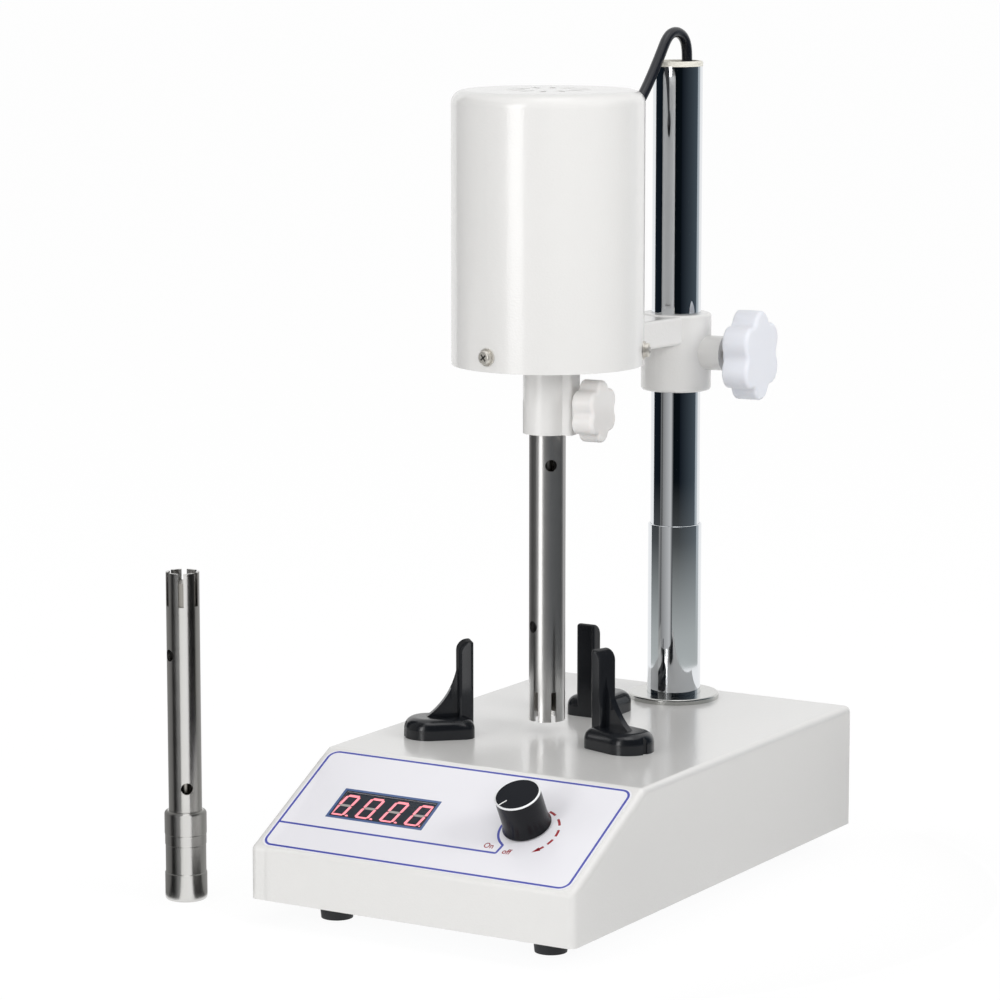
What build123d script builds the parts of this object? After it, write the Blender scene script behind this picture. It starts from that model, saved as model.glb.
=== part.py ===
"""Rotor stator homogenizer: a bench stand, a motor head that slides and swivels on a column,
and two interchangeable rotor stator working heads, one fitted and one standing beside the base.

Millimetres, +Z up. The origin is on the bench under the middle of the base, -Y is the front.
"""
from build123d import *
import os
from math import atan2, cos, degrees, hypot, radians, sin, tan

os.makedirs("parts", exist_ok=True)

# ---------------------------------------------------------------- clearances
press_gap = 0.02          # piece pressed or shrunk on its seat
running_gap = 0.05        # radial gap of a turning or sliding fit
fit_gap = 0.1             # gap round a piece that is dropped into its seat
loose_gap = 0.3           # gap round a piece that passes through an opening

# ---------------------------------------------------------------- base
base_width = 165.0
base_depth = 264.0
base_height = 57.0        # from the lower edge of the shell to its flat top
front_height = 23.5       # height of the upright front face
slope_run = 62.0          # length of the sloping panel, seen from above
shell_wall = 2.0
corner_radius = 3.4
edge_radius = 3.0
plate_thickness = 1.5
foot_height = 11.0
foot_diameter = 16.5
foot_from_side = 27.5
foot_from_end = 28.0
foot_bore = 4.4
screw_post_diameter = 9.0
m4_diameter = 4.0
m4_head_diameter = 7.6
m4_head_height = 2.6
post_screw_length = 18.0
front_post_height = 17.0  # the front posts stop under the display and stand on a rib
post_rib = 3.0

foot_recess = 3.4         # depth of the screw head in a foot
m3_diameter = 3.0
m3_head_diameter = 5.6
m3_head_height = 2.0
vent_pitch = 6.0
base_vent_count = 9
base_vent_length = 26.0
base_vent_width = 3.0

# ---------------------------------------------------------------- front panel
label_width = 157.4
label_height = 66.2
label_thickness = 0.3
label_corner = 5.0
label_centre_up = 35.0    # up the slope from the front bend
window_width = 46.0
window_height = 15.4
window_x = -32.0
window_up = 34.8
window_thickness = 3.0
led_width = 50.3
led_height = 19.0
led_depth = 8.0
dial_x = 40.4
dial_up = 37.2
dial_top_diameter = 20.4
dial_skirt_diameter = 22.0
dial_height = 17.0
dial_panel_gap = 0.8
dial_bevel = 0.6
dial_pointer_angle = -118.0
pot_shaft_diameter = 6.0
pot_bush_diameter = 9.0
pot_body_diameter = 24.0
pot_body_depth = 11.0
pot_lug_share = 0.6
pot_lug_length = 8.0
pot_floor = 2.0
pot_shaft_lift = 2.1
pot_nut_radius = 7.0
pot_nut_thickness = 2.0
pot_bush_height = 3.2     # above the label
dial_skirt_height = 5.0
dial_skirt_wall = 2.4
dial_floor = 4.0
pointer_length = 4.6
pointer_width = 0.8
pointer_depth = 0.3
pointer_inset = 4.2       # middle of the pointer from the dial's edge

# ---------------------------------------------------------------- column
column_x = 0.0
column_from_rear = 25.9
sleeve_diameter = 25.4
sleeve_height = 84.5      # above the base
post_diameter = 23.4
post_wall = 1.0
post_lift = 2.0           # foot of the post above the base's top
post_height = 300.8       # top of the post above the base
cap_lip = 2.5
cap_wall = 0.9
cap_spigot = 9.0
flange_diameter = 43.0
flange_thickness = 2.6
flange_round = 0.9
sleeve_round = 0.5
cap_round = 0.8
lock_nut_flats = 34.0
lock_nut_thickness = 5.0
sleeve_tail = 3.0         # thread left showing under the lock nut

# ---------------------------------------------------------------- head: casting
head_azimuth = -97.6      # direction of the tool from the column
head_reach = 98.65        # column axis to tool axis
ring_diameter = 33.2
ring_above_neck = 10.0    # lower end of the clamp ring above that of the neck
ring_height = 36.5
arm_width = 23.5
arm_rise = 22.8           # above the lower end of the clamp ring
arm_height = 13.2
boss_diameter = 16.3
boss_length = 25.0        # from the column axis
boss_rise = 18.2          # above the lower end of the clamp ring
knob_side_angle = 102.5   # from the arm round to both clamp screws
neck_diameter = 22.4
neck_bore_depth = 41.4
cover_thickness = 6.0
cover_rim_width = 6.0
cover_rim_height = 14.0
cover_rib = 3.0
cover_rib_height = 6.0
motor_post_diameter = 10.0
casting_round = 1.5
lug_width = 10.6
lug_reach = 14.3
tool_knob_rise = 11.3     # above the lower end of the neck
cover_lift = 1.0          # of the flange inside the housing, above its rim

# ---------------------------------------------------------------- head: housing
housing_diameter = 87.5
housing_wall = 1.5
housing_rise = 21.8       # above the lower end of the clamp ring
housing_height = 123.6
housing_shoulder = 6.0
housing_screw_rise = 6.8  # above the housing's rim
vent_count = 12
vent_length = 9.0
vent_width = 2.4
vent_ring_radius = 15.0
grommet_hole = 9.0
grommet_flange = 13.0
grommet_head = 2.2
grommet_lip = 1.6
grommet_lip_step = 1.0
grommet_round = 0.9
grommet_slack = 0.6       # inside the housing's wall
housing_cut = 8.0         # length of the tools that pierce the wall
housing_cut_inset = 4.0
housing_screw_diameter = 3.5
housing_screw_head = 6.4
housing_screw_head_height = 2.2
housing_washer_diameter = 8.0
washer_thickness = 0.7
housing_screw_length = 8.5

# ---------------------------------------------------------------- motor
motor_shaft_diameter = 8.0
bearing_outer = 22.0
bearing_width = 7.0
core_diameter = 73.0
core_bore = 40.4
core_length = 32.0
core_ring = 5.5
pole_width = 22.0
coil_side = 4.0
coil_depth = 3.4
coil_end_turn = 7.0
pole_shoe = 2.8
pole_shoe_width = 34.0
air_gap = 0.45
armature_slots = 12
commutator_diameter = 22.0
commutator_length = 13.0
brush_size = 6.0
fan_diameter = 52.0
fan_blades = 8
bolt_radius = 33.75
bracket_gap = 3.0         # above the commutator
bracket_thickness = 5.0
bracket_width = 18.0
motor_bolt_grip = 10.0
terminal_distance = 36.0  # tool axis to the terminal face that the lead meets
terminal_size = 10.0
commutator_gap = 1.5
lower_winding_height = 6.5
upper_winding_height = 4.5
upper_winding_step = 2.0  # how much smaller the upper winding is in radius
winding_inset = 2.5
winding_gap = 2.0
fan_height = 8.5
fan_gap = 2.5             # above the bearing hub
fan_disc = 1.2
fan_hub_radius = 8.0
fan_blade_thickness = 1.4
fan_blade_root = 0.5      # how far a blade runs into the hub
neck_floor = 1.0          # between the collar's seat and the bearing
bearing_lip = 0.5
hub_wall_thickness = 4.0
coupling_rise = 4.5       # end of the coupling below the collar's seat
coupling_grip = 7.0       # length of the motor shaft in the coupling
coupling_slot_depth = 5.5
brush_length = 16.0
brush_overhang = 2.0      # of the brush, inside its holder
brush_holder_length = 14.0
brush_holder_wall = 3.0
brush_holder_floor = 1.5
bracket_seat = 3.0        # floor under the upper bearing
bracket_hub_rim = 3.0
armature_slot_width = 2.4
armature_slot_depth = 6.2
armature_slot_inset = 3.0
commutator_slot_width = 0.6
commutator_slot_depth = 1.2
shield_inset = 2.0
shield_depth = 0.5
coil_corner = 5.0
shaft_hole_air = 1.0
terminal_side = 4.0       # how much wider than high the motor terminal is
coupling_chamfer = 0.8
shaft_chamfer = 0.5

# ---------------------------------------------------------------- clamp knobs
big_knob_diameter = 42.0
big_knob_depth = 13.0
big_hub_length = 4.5
small_knob_diameter = 28.4
small_knob_depth = 10.5
small_hub_length = 2.4
knob_lobes = 6
lobe_start = 30.0         # so that one lobe of a knob points straight up
stud_diameter = 6.0
lobe_share = 0.19
valley_share = 0.5        # round of a valley, as a share of a lobe
knob_round = 2.0
hub_wall = 4.0
big_knob_air = 2.0        # stud left bare between boss and knob hub
small_knob_air = 1.3
knob_face_wall = 3.0      # over the end of the stud
stud_chamfer = 0.8
core_share = 1.15         # of a lobe's radius, from the knob's edge to its core

# ---------------------------------------------------------------- working heads
collar_diameter = 19.0
collar_length = 41.0
collar_relief = 0.35
collar_land = 12.4        # plain length before the relief
collar_band_start = 25.3
collar_band = 0.18        # height of the narrow band in the relief
collar_band_end = 30.2
collar_step = 0.3
collar_end_round = 1.2
collar_nose_round = 1.6
coupling_bore = 15.4
coupling_diameter = 13.0
coupling_length = 13.0
coupling_slot = 2.6
tool_shaft_diameter = 5.0
tube_wall = 1.3
fitted_tube_diameter = 16.65
fitted_tool_length = 174.4
tip_clearance = 5.6       # tip of the fitted tool above the base
spare_tube_diameter = 15.0
spare_tool_length = 149.9
spare_x = -131.3
spare_y = -112.0
fitted_slot_depth = 13.8
spare_slot_depth = 15.2
fitted_holes = [(118.9, -47.5), (44.0, -113.0)]    # from the tip, azimuth
spare_holes = [(97.9, -47.9), (37.4, -113.0)]
tube_hole_diameter = 5.4
bush_length = 8.0
bush_from_tip = 22.0
spare_turn = -61.0
coupling_chamber = 21.0
tang_length = 5.0
tang_end = 17.5
tang_width = 9.0
stator_slots = 6
stator_slot_width = 2.4
rotor_recess = 4.6
rotor_height = 12.0
rotor_cap = 2.0           # of the rotor over the end of its shaft
rotor_hub_wall = 1.4
bush_gap = 2.0            # between the coupling chamber and the first bush
rotor_gap = 0.2
blade_thickness = 2.2

# ---------------------------------------------------------------- vessel claws
claw_angles = {"claw_right": -18.0, "claw_rear": 90.0, "claw_left": 222.0}
vessel_radius = 35.0
claw_foot_length = 31.3
claw_foot_width = 23.5
claw_foot_height = 9.2
claw_height = 44.0
claw_plate = 6.8
claw_plate_width = 9.6
claw_rib = 3.0
claw_rib_top = 31.7
claw_rib_end = 22.0       # from the inner face of the claw
claw_travel = 5.0         # each way along its slot
claw_screw_from_face = 14.0
claw_screw_grip = 6.0
claw_screw_head = 9.0
claw_toe_radius = 11.0
claw_pillow = 5.0
claw_groove = 1.2
claw_crown = 5.2
claw_rib_sag = 2.2
claw_heel_radius = 5.6
claw_plate_round = 1.4
claw_top_round = 1.2
claw_rib_root = 0.5       # how far the rib's toe runs into the foot
claw_rib_bury = 1.0       # how far the rib runs into the upright

# ---------------------------------------------------------------- rear inlet
inlet_x = 40.0
inlet_width = 27.0
inlet_height = 19.6
inlet_flange_width = 48.0
inlet_flange_height = 23.0
inlet_depth = 17.0
inlet_flange = 2.5
inlet_screw_pitch = 40.0
inlet_screw_length = 9.0
inlet_corner = 4.0
inlet_wall = 1.5
inlet_floor = 2.5
pin_width = 2.0
pin_height = 4.0
pin_spread = 7.0
earth_pin_rise = 2.2
live_pin_drop = 1.8
pin_inset = 1.5           # pin ends below the inlet's face

# ---------------------------------------------------------------- circuit board
board_width = 90.0
board_length = 84.0
board_from_rear = 60.0    # centre of the board to the rear of the base
board_thickness = 1.6
standoff_height = 6.0
standoff_diameter = 6.0
terminal_height = 11.9
terminal_width = 14.0
terminal_depth = 12.0
standoff_inset = 5.0      # standoffs from the board's edges

# ---------------------------------------------------------------- lead to the motor
lead_diameter = 5.0

# ================================================================ derived places
shell_bottom = foot_height
shell_top = shell_bottom + base_height
front_y = -base_depth / 2
slope_angle = degrees(atan2(base_height - front_height, slope_run))
panel = Plane(origin=(0, front_y, shell_bottom + front_height), x_dir=(1, 0, 0),
              z_dir=(0, -sin(radians(slope_angle)), cos(radians(slope_angle))))
plate_top = shell_bottom + plate_thickness
foot_places = [(x * (base_width / 2 - foot_from_side), y * (base_depth / 2 - foot_from_end))
               for x in (-1, 1) for y in (-1, 1)]
board_centre_y = base_depth / 2 - board_from_rear

column_y = base_depth / 2 - column_from_rear
sleeve_top = shell_top + sleeve_height
post_bottom = shell_top + post_lift
post_top = shell_top + post_height
head_dir = Vector(cos(radians(head_azimuth)), sin(radians(head_azimuth)), 0)
tool_x = column_x + head_reach * head_dir.X
tool_y = column_y + head_reach * head_dir.Y
knob_azimuth = head_azimuth + knob_side_angle

# The head hangs where the fitted tool's tip clears the base.
neck_bottom = shell_top + tip_clearance + fitted_tool_length - neck_bore_depth
neck_top = neck_bottom + neck_bore_depth
ring_bottom = neck_bottom + ring_above_neck
arm_bottom = ring_bottom + arm_rise
boss_height = ring_bottom + boss_rise
tool_knob_height = neck_bottom + tool_knob_rise
housing_bottom = ring_bottom + housing_rise
housing_top = housing_bottom + housing_height
housing_screw_height = housing_bottom + housing_screw_rise
ring_bore = post_diameter / 2 + running_gap
neck_bore = collar_diameter / 2 + running_gap
housing_inside = housing_diameter / 2 - housing_wall
cover_bottom = housing_bottom + cover_lift
cover_top = cover_bottom + cover_thickness
cover_radius = housing_inside - fit_gap

# The motor stacks up from the bearing hub over the neck.
bearing_seat = neck_top + neck_floor
hub_top = bearing_seat + bearing_width + bearing_lip
hub_radius = bearing_outer / 2 + hub_wall_thickness
coupling_end = neck_top - coupling_rise
fan_bottom = hub_top + fan_gap
core_bottom = fan_bottom + fan_height + winding_gap + lower_winding_height
core_top = core_bottom + core_length
commutator_bottom = core_top + upper_winding_height + commutator_gap
bracket_height = commutator_bottom + commutator_length + bracket_gap
bracket_top = bracket_height + bracket_thickness
upper_bearing_seat = bracket_height + bracket_seat
grommet_height = bracket_top + terminal_size / 2
armature_radius = core_bore / 2 - air_gap


def column_plane(height):
    """Level plane on the column axis, its x pointing at the tool."""
    return Plane(origin=(column_x, column_y, height), x_dir=head_dir, z_dir=(0, 0, 1))


def tool_plane(height):
    """Level plane on the tool axis, its x pointing away from the column."""
    return Plane(origin=(tool_x, tool_y, height), x_dir=head_dir, z_dir=(0, 0, 1))


def radial_plane(centre_x, centre_y, height, azimuth, distance=0.0):
    """Upright plane facing outward along an azimuth, at a distance from a vertical axis."""
    way = Vector(cos(radians(azimuth)), sin(radians(azimuth)), 0)
    return Plane(origin=(centre_x + distance * way.X, centre_y + distance * way.Y, height),
                 x_dir=(-way.Y, way.X, 0), z_dir=way)


def save(piece, name):
    """Label a finished piece and write it as its own file."""
    piece.label = name
    export_step(piece, f"parts/{name}.step")


def vessel_plane(azimuth, height):
    """Level plane on the vessel axis, its x pointing out along one claw."""
    way = Vector(cos(radians(azimuth)), sin(radians(azimuth)), 0)
    return Plane(origin=(tool_x, tool_y, height), x_dir=way, z_dir=(0, 0, 1))


def screw(plane, diameter, head_diameter, head_height, length):
    """Pan-head screw: the head stands on the plane and the shank runs down from it."""
    with BuildPart() as piece:
        with BuildSketch(plane):
            Circle(head_diameter / 2)
        extrude(amount=head_height)
        crown = piece.faces().sort_by(Axis(plane.origin, plane.z_dir))[-1]
        fillet(crown.edges(), head_height * 0.45)
        with BuildSketch(plane):
            Circle(diameter / 2)
        extrude(amount=-length)
    return piece.part


def ring(plane, outer_radius, inner_radius, height):
    """Plain ring standing on a plane."""
    with BuildPart() as piece:
        with BuildSketch(plane):
            Circle(outer_radius)
            Circle(inner_radius, mode=Mode.SUBTRACT)
        extrude(amount=height)
    return piece.part


# ================================================================ base
def base_form(inset):
    """Wedge-fronted body of the base, drawn in by an inset on every side but the open bottom."""
    with BuildPart() as form:
        with BuildSketch(Plane.YZ):
            with BuildLine():
                Polyline((front_y, shell_bottom - inset), (front_y, shell_bottom + front_height),
                         (front_y + slope_run, shell_top), (-front_y, shell_top),
                         (-front_y, shell_bottom - inset), close=True)
            make_face()
            offset(amount=-inset, kind=Kind.INTERSECTION, mode=Mode.REPLACE)
        extrude(amount=base_width / 2 - inset, both=True)
        fillet(form.edges().filter_by(Axis.Z), corner_radius - inset)
        upper_edges = form.edges().filter_by(Axis.Z, reverse=True)
        fillet(upper_edges.filter_by(lambda e: e.center().Z > shell_bottom + 1),
               edge_radius - inset)
    return form.part


with BuildPart() as screw_posts:
    for x, y in foot_places:
        tall = base_height if y > 0 else front_post_height
        with BuildSketch(Plane.XY.offset(plate_top)):
            with Locations((x, y)):
                Circle(screw_post_diameter / 2)
            if y < 0:
                with Locations((x, (front_y + y) / 2)):
                    Rectangle(post_rib, y - front_y)
        extrude(amount=tall)
    add(base_form(0), mode=Mode.INTERSECT)

with BuildPart() as base_shell:
    add(base_form(0))
    add(base_form(shell_wall), mode=Mode.SUBTRACT)
    add(screw_posts.part)
    with BuildSketch(Plane.XY.offset(plate_top)):
        with Locations(*foot_places):
            Circle(m4_diameter / 2 + running_gap)
    extrude(amount=post_screw_length, mode=Mode.SUBTRACT)
    with BuildSketch(Plane.XY.offset(shell_top)):
        with Locations((column_x, column_y)):
            Circle(sleeve_diameter / 2 + fit_gap)
    extrude(amount=-2 * shell_wall, mode=Mode.SUBTRACT)
    for azimuth in claw_angles.values():
        with BuildSketch(vessel_plane(azimuth, shell_top)):
            with Locations((vessel_radius + claw_screw_from_face, 0)):
                SlotCenterToCenter(2 * claw_travel, m4_diameter + 2 * fit_gap)
        extrude(amount=-2 * shell_wall, mode=Mode.SUBTRACT)
    with BuildSketch(panel):
        with Locations((window_x, window_up)):
            Rectangle(window_width + 2 * fit_gap, window_height + 2 * fit_gap)
        with Locations((dial_x, dial_up)):
            Circle(pot_bush_diameter / 2 + fit_gap)
    extrude(amount=-2 * shell_wall, mode=Mode.SUBTRACT)
    inlet_z = shell_bottom + base_height / 2
    inlet_face = Plane(origin=(inlet_x, -front_y, inlet_z), x_dir=(-1, 0, 0), z_dir=(0, 1, 0))
    with BuildSketch(inlet_face):
        Rectangle(inlet_width + 2 * fit_gap, inlet_height + 2 * fit_gap)
        with GridLocations(inlet_screw_pitch, 0, 2, 1):
            Circle(m3_diameter / 2 + fit_gap)
    extrude(amount=-2 * shell_wall, mode=Mode.SUBTRACT)
save(base_shell.part, "base_shell")

plate_side_gap = shell_wall + loose_gap
with BuildPart() as base_plate:
    with BuildSketch(Plane.XY.offset(shell_bottom)):
        RectangleRounded(base_width - 2 * plate_side_gap, base_depth - 2 * plate_side_gap,
                         corner_radius - shell_wall)
        with Locations(*foot_places):
            Circle(foot_bore / 2, mode=Mode.SUBTRACT)
        with Locations((0, board_centre_y)):
            with GridLocations(vent_pitch, base_vent_length + vent_pitch, base_vent_count, 2):
                SlotOverall(base_vent_length, base_vent_width, rotation=90, mode=Mode.SUBTRACT)
    extrude(amount=plate_thickness)
save(base_plate.part, "base_plate")

with BuildPart() as rubber_feet:
    for x, y in foot_places:
        with BuildSketch(Plane(origin=(x, y, foot_height), z_dir=(0, 0, 1))):
            Circle(foot_diameter / 2)
        extrude(amount=-foot_height, taper=6)
        with BuildSketch(Plane(origin=(x, y, 0), z_dir=(0, 0, 1))):
            Circle(foot_bore / 2)
        extrude(amount=foot_height, mode=Mode.SUBTRACT)
        with BuildSketch(Plane(origin=(x, y, 0), z_dir=(0, 0, 1))):
            Circle(m4_head_diameter / 2 + loose_gap)
        extrude(amount=foot_recess, mode=Mode.SUBTRACT)
save(rubber_feet.part, "rubber_feet")

with BuildPart() as foot_screws:
    for x, y in foot_places:
        seat = Plane(origin=(x, y, foot_recess), x_dir=(1, 0, 0), z_dir=(0, 0, -1))
        add(screw(seat, m4_diameter, m4_head_diameter, m4_head_height, post_screw_length))
save(foot_screws.part, "foot_screws")

# ---------------------------------------------------------------- front panel
with BuildPart() as panel_label:
    with BuildSketch(panel):
        with Locations((0, label_centre_up)):
            RectangleRounded(label_width, label_height, label_corner)
        with Locations((window_x, window_up)):
            Rectangle(window_width + 2 * fit_gap, window_height + 2 * fit_gap,
                      mode=Mode.SUBTRACT)
        with Locations((dial_x, dial_up)):
            Circle(pot_bush_diameter / 2 + fit_gap, mode=Mode.SUBTRACT)
    extrude(amount=label_thickness)
save(panel_label.part, "panel_label")

with BuildPart() as display_window:
    with BuildSketch(panel.offset(-shell_wall)):
        with Locations((window_x, window_up)):
            Rectangle(window_width, window_height)
    extrude(amount=shell_wall + label_thickness)
save(display_window.part, "display_window")

with BuildPart() as led_module:
    with BuildSketch(panel.offset(-shell_wall - led_depth)):
        with Locations((window_x, window_up)):
            Rectangle(led_width, led_height)
    extrude(amount=led_depth)
save(led_module.part, "led_module")

# ---------------------------------------------------------------- speed dial
dial_plane = Plane(origin=panel.from_local_coords(Vector(dial_x, dial_up, 0)),
                   x_dir=panel.x_dir, z_dir=panel.z_dir)
dial_bottom = label_thickness + dial_panel_gap
dial_top = dial_bottom + dial_height
bush_top = label_thickness + pot_bush_height
shaft_bore = pot_shaft_diameter / 2 + running_gap
with BuildPart() as potentiometer:
    with BuildSketch(dial_plane.offset(-shell_wall - pot_body_depth)):
        Circle(pot_body_diameter / 2)
        with Locations((0, -pot_body_diameter / 2)):
            Rectangle(pot_body_diameter * pot_lug_share, pot_lug_length)
    extrude(amount=pot_body_depth)
    with BuildSketch(dial_plane.offset(-shell_wall)):
        Circle(pot_bush_diameter / 2)
    extrude(amount=shell_wall + bush_top)
    with BuildSketch(dial_plane.offset(bush_top)):
        Circle(shaft_bore)
    extrude(amount=-(bush_top + shell_wall + pot_body_depth - pot_floor), mode=Mode.SUBTRACT)
save(potentiometer.part, "potentiometer")

with BuildPart() as pot_nut:
    with BuildSketch(dial_plane.offset(label_thickness)):
        RegularPolygon(pot_nut_radius, 6)
        Circle(pot_bush_diameter / 2 + running_gap, mode=Mode.SUBTRACT)
    extrude(amount=pot_nut_thickness)
save(pot_nut.part, "pot_nut")

with BuildPart() as speed_dial:
    with BuildSketch(Plane(origin=dial_plane.origin, x_dir=panel.x_dir,
                           z_dir=-panel.y_dir)):
        with BuildLine():
            Polyline((0, dial_top), (dial_top_diameter / 2, dial_top),
                     (dial_top_diameter / 2, dial_bottom + dial_skirt_height))
            Spline((dial_top_diameter / 2, dial_bottom + dial_skirt_height),
                   (dial_skirt_diameter / 2, dial_bottom), tangents=((0, -1), (0.35, -1)))
            Polyline((dial_skirt_diameter / 2, dial_bottom), (0, dial_bottom), (0, dial_top))
        make_face()
    revolve(axis=Axis(dial_plane.origin, dial_plane.z_dir))
    chamfer(speed_dial.faces().sort_by(Axis(dial_plane.origin, dial_plane.z_dir))[-1].edges(),
            dial_bevel)
    with BuildSketch(dial_plane.offset(dial_bottom)):
        Circle(dial_skirt_diameter / 2 - dial_skirt_wall)
    extrude(amount=bush_top + loose_gap - dial_bottom, mode=Mode.SUBTRACT)
    with BuildSketch(dial_plane.offset(dial_bottom)):
        Circle(pot_shaft_diameter / 2 + press_gap)
    extrude(amount=dial_height - dial_floor, mode=Mode.SUBTRACT)
    with BuildSketch(dial_plane.offset(dial_top)):
        with PolarLocations(dial_top_diameter / 2 - pointer_inset, 1,
                            start_angle=dial_pointer_angle):
            Rectangle(pointer_length, pointer_width)
    extrude(amount=-pointer_depth, mode=Mode.SUBTRACT)
save(speed_dial.part, "speed_dial")

with BuildPart() as dial_shaft:
    with BuildSketch(dial_plane.offset(pot_shaft_lift - shell_wall - pot_body_depth)):
        Circle(pot_shaft_diameter / 2)
    extrude(amount=shell_wall + pot_body_depth - pot_shaft_lift + dial_bottom + dial_height
            - dial_floor)
save(dial_shaft.part, "dial_shaft")

# ---------------------------------------------------------------- rear inlet
with BuildPart() as mains_inlet:
    with BuildSketch(inlet_face):
        RectangleRounded(inlet_flange_width, inlet_flange_height, inlet_corner)
        with GridLocations(inlet_screw_pitch, 0, 2, 1):
            Circle(m3_diameter / 2 + fit_gap, mode=Mode.SUBTRACT)
    extrude(amount=inlet_flange)
    with BuildSketch(inlet_face):
        Rectangle(inlet_width, inlet_height)
    extrude(amount=-inlet_depth)
    with BuildSketch(inlet_face.offset(inlet_flange)) as inlet_mouth:
        Rectangle(inlet_width - 2 * inlet_wall, inlet_height - 2 * inlet_wall)
        chamfer(inlet_mouth.vertices().group_by(Axis.Z)[-1], inlet_corner)
    extrude(amount=-(inlet_depth + inlet_flange - inlet_floor), mode=Mode.SUBTRACT)
save(mains_inlet.part, "mains_inlet")

with BuildPart() as inlet_pins:
    with BuildSketch(inlet_face.offset(inlet_floor - inlet_depth)):
        with Locations((0, earth_pin_rise), (-pin_spread, -live_pin_drop),
                       (pin_spread, -live_pin_drop)):
            Rectangle(pin_width, pin_height)
    extrude(amount=inlet_depth - inlet_floor - pin_inset)
save(inlet_pins.part, "inlet_pins")

with BuildPart() as inlet_screws:
    for side in (-1, 1):
        head_seat = Plane(origin=(inlet_x + side * inlet_screw_pitch / 2,
                                  -front_y + inlet_flange, inlet_z),
                          x_dir=(-1, 0, 0), z_dir=(0, 1, 0))
        add(screw(head_seat, m3_diameter, m3_head_diameter, m3_head_height,
                  inlet_screw_length))
save(inlet_screws.part, "inlet_screws")

# ---------------------------------------------------------------- speed control board
board_bottom = plate_top + standoff_height
with BuildPart() as control_board:
    with BuildSketch(Plane.XY.offset(board_bottom)):
        with Locations((0, board_centre_y)):
            Rectangle(board_width, board_length)
    extrude(amount=board_thickness)
save(control_board.part, "control_board")

with BuildPart() as board_standoffs:
    with BuildSketch(Plane.XY.offset(plate_top)):
        with Locations((0, board_centre_y)):
            with GridLocations(board_width - 2 * standoff_inset, board_length - 2 * standoff_inset,
                               2, 2):
                Circle(standoff_diameter / 2)
    extrude(amount=standoff_height)
save(board_standoffs.part, "board_standoffs")

board_top = board_bottom + board_thickness
terminal_top = board_top + terminal_height
with BuildPart() as lead_terminal:
    with BuildSketch(Plane.XY.offset(board_top)):
        with Locations((column_x, column_y)):
            Rectangle(terminal_width, terminal_depth)
    extrude(amount=terminal_height)
save(lead_terminal.part, "lead_terminal")

# ================================================================ column
with BuildPart() as column_flange:
    with BuildSketch(column_plane(shell_top)):
        Circle(flange_diameter / 2)
        Circle(sleeve_diameter / 2 + fit_gap, mode=Mode.SUBTRACT)
    extrude(amount=flange_thickness)
    fillet(column_flange.faces().sort_by(Axis.Z)[-1].edges().sort_by(SortBy.RADIUS)[-1],
           flange_round)
save(column_flange.part, "column_flange")

lock_nut_top = shell_top - shell_wall
with BuildPart() as column_lock_nut:
    with BuildSketch(Plane(origin=(column_x, column_y, lock_nut_top - lock_nut_thickness))):
        RegularPolygon(lock_nut_flats / 2, 6, major_radius=False)
        Circle(sleeve_diameter / 2 + running_gap, mode=Mode.SUBTRACT)
    extrude(amount=lock_nut_thickness)
save(column_lock_nut.part, "column_lock_nut")

sleeve_bottom = lock_nut_top - lock_nut_thickness - sleeve_tail
with BuildPart() as column_sleeve:
    with BuildSketch(column_plane(sleeve_bottom)):
        Circle(sleeve_diameter / 2)
        Circle(post_diameter / 2 + running_gap, mode=Mode.SUBTRACT)
    extrude(amount=sleeve_top - sleeve_bottom)
    fillet(column_sleeve.faces().sort_by(Axis.Z)[-1].edges().sort_by(SortBy.RADIUS)[-1],
           sleeve_round)
save(column_sleeve.part, "column_sleeve")

post_bore = post_diameter / 2 - post_wall
column_post = ring(column_plane(post_bottom), post_diameter / 2, post_bore,
                   post_top - post_bottom)
save(column_post, "column_post")

with BuildPart() as column_cap:
    add(ring(column_plane(post_top - cap_spigot), post_bore - running_gap,
             post_bore - running_gap - cap_wall, cap_spigot))
    add(ring(column_plane(post_top), post_diameter / 2, post_bore - running_gap - cap_wall,
             cap_lip))
    fillet(column_cap.faces().sort_by(Axis.Z)[-1].edges().sort_by(SortBy.RADIUS)[-1],
           cap_round)
save(column_cap.part, "column_cap")

# ================================================================ head casting
screw_azimuths = [head_azimuth + turn for turn in (0, 120, 240)]
ring_plane = column_plane(ring_bottom)
boss_plane = radial_plane(column_x, column_y, boss_height, knob_azimuth)
lug_plane = radial_plane(tool_x, tool_y, tool_knob_height, knob_azimuth)
lug_way = Plane(origin=(tool_x, tool_y, neck_bottom), x_dir=lug_plane.z_dir, z_dir=(0, 0, 1))
arm_end = head_reach - cover_radius + cover_rim_width / 2

with BuildPart() as clamp_ring:
    with BuildSketch(ring_plane):
        Circle(ring_diameter / 2)
    extrude(amount=ring_height)
    fillet(clamp_ring.edges(), casting_round)

with BuildPart() as clamp_arm:
    with BuildSketch(column_plane(arm_bottom)):
        with Locations((arm_end / 2, 0)):
            Rectangle(arm_end, arm_width)
    extrude(amount=arm_height)
    fillet(clamp_arm.edges().filter_by(lambda e: abs(e.tangent_at(0).dot(head_dir)) > 0.99),
           casting_round)

with BuildPart() as tool_neck:
    with BuildSketch(tool_plane(neck_bottom)):
        Circle(neck_diameter / 2)
    extrude(amount=cover_top - neck_bottom)
    with BuildSketch(lug_way):
        with Locations((lug_reach / 2, 0)):
            Rectangle(lug_reach, lug_width)
    extrude(amount=cover_bottom - neck_bottom)
    lug_edges = tool_neck.edges().filter_by(Axis.Z).sort_by(Axis(lug_way.origin, lug_way.x_dir))
    fillet(lug_edges[-2:], casting_round)

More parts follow.
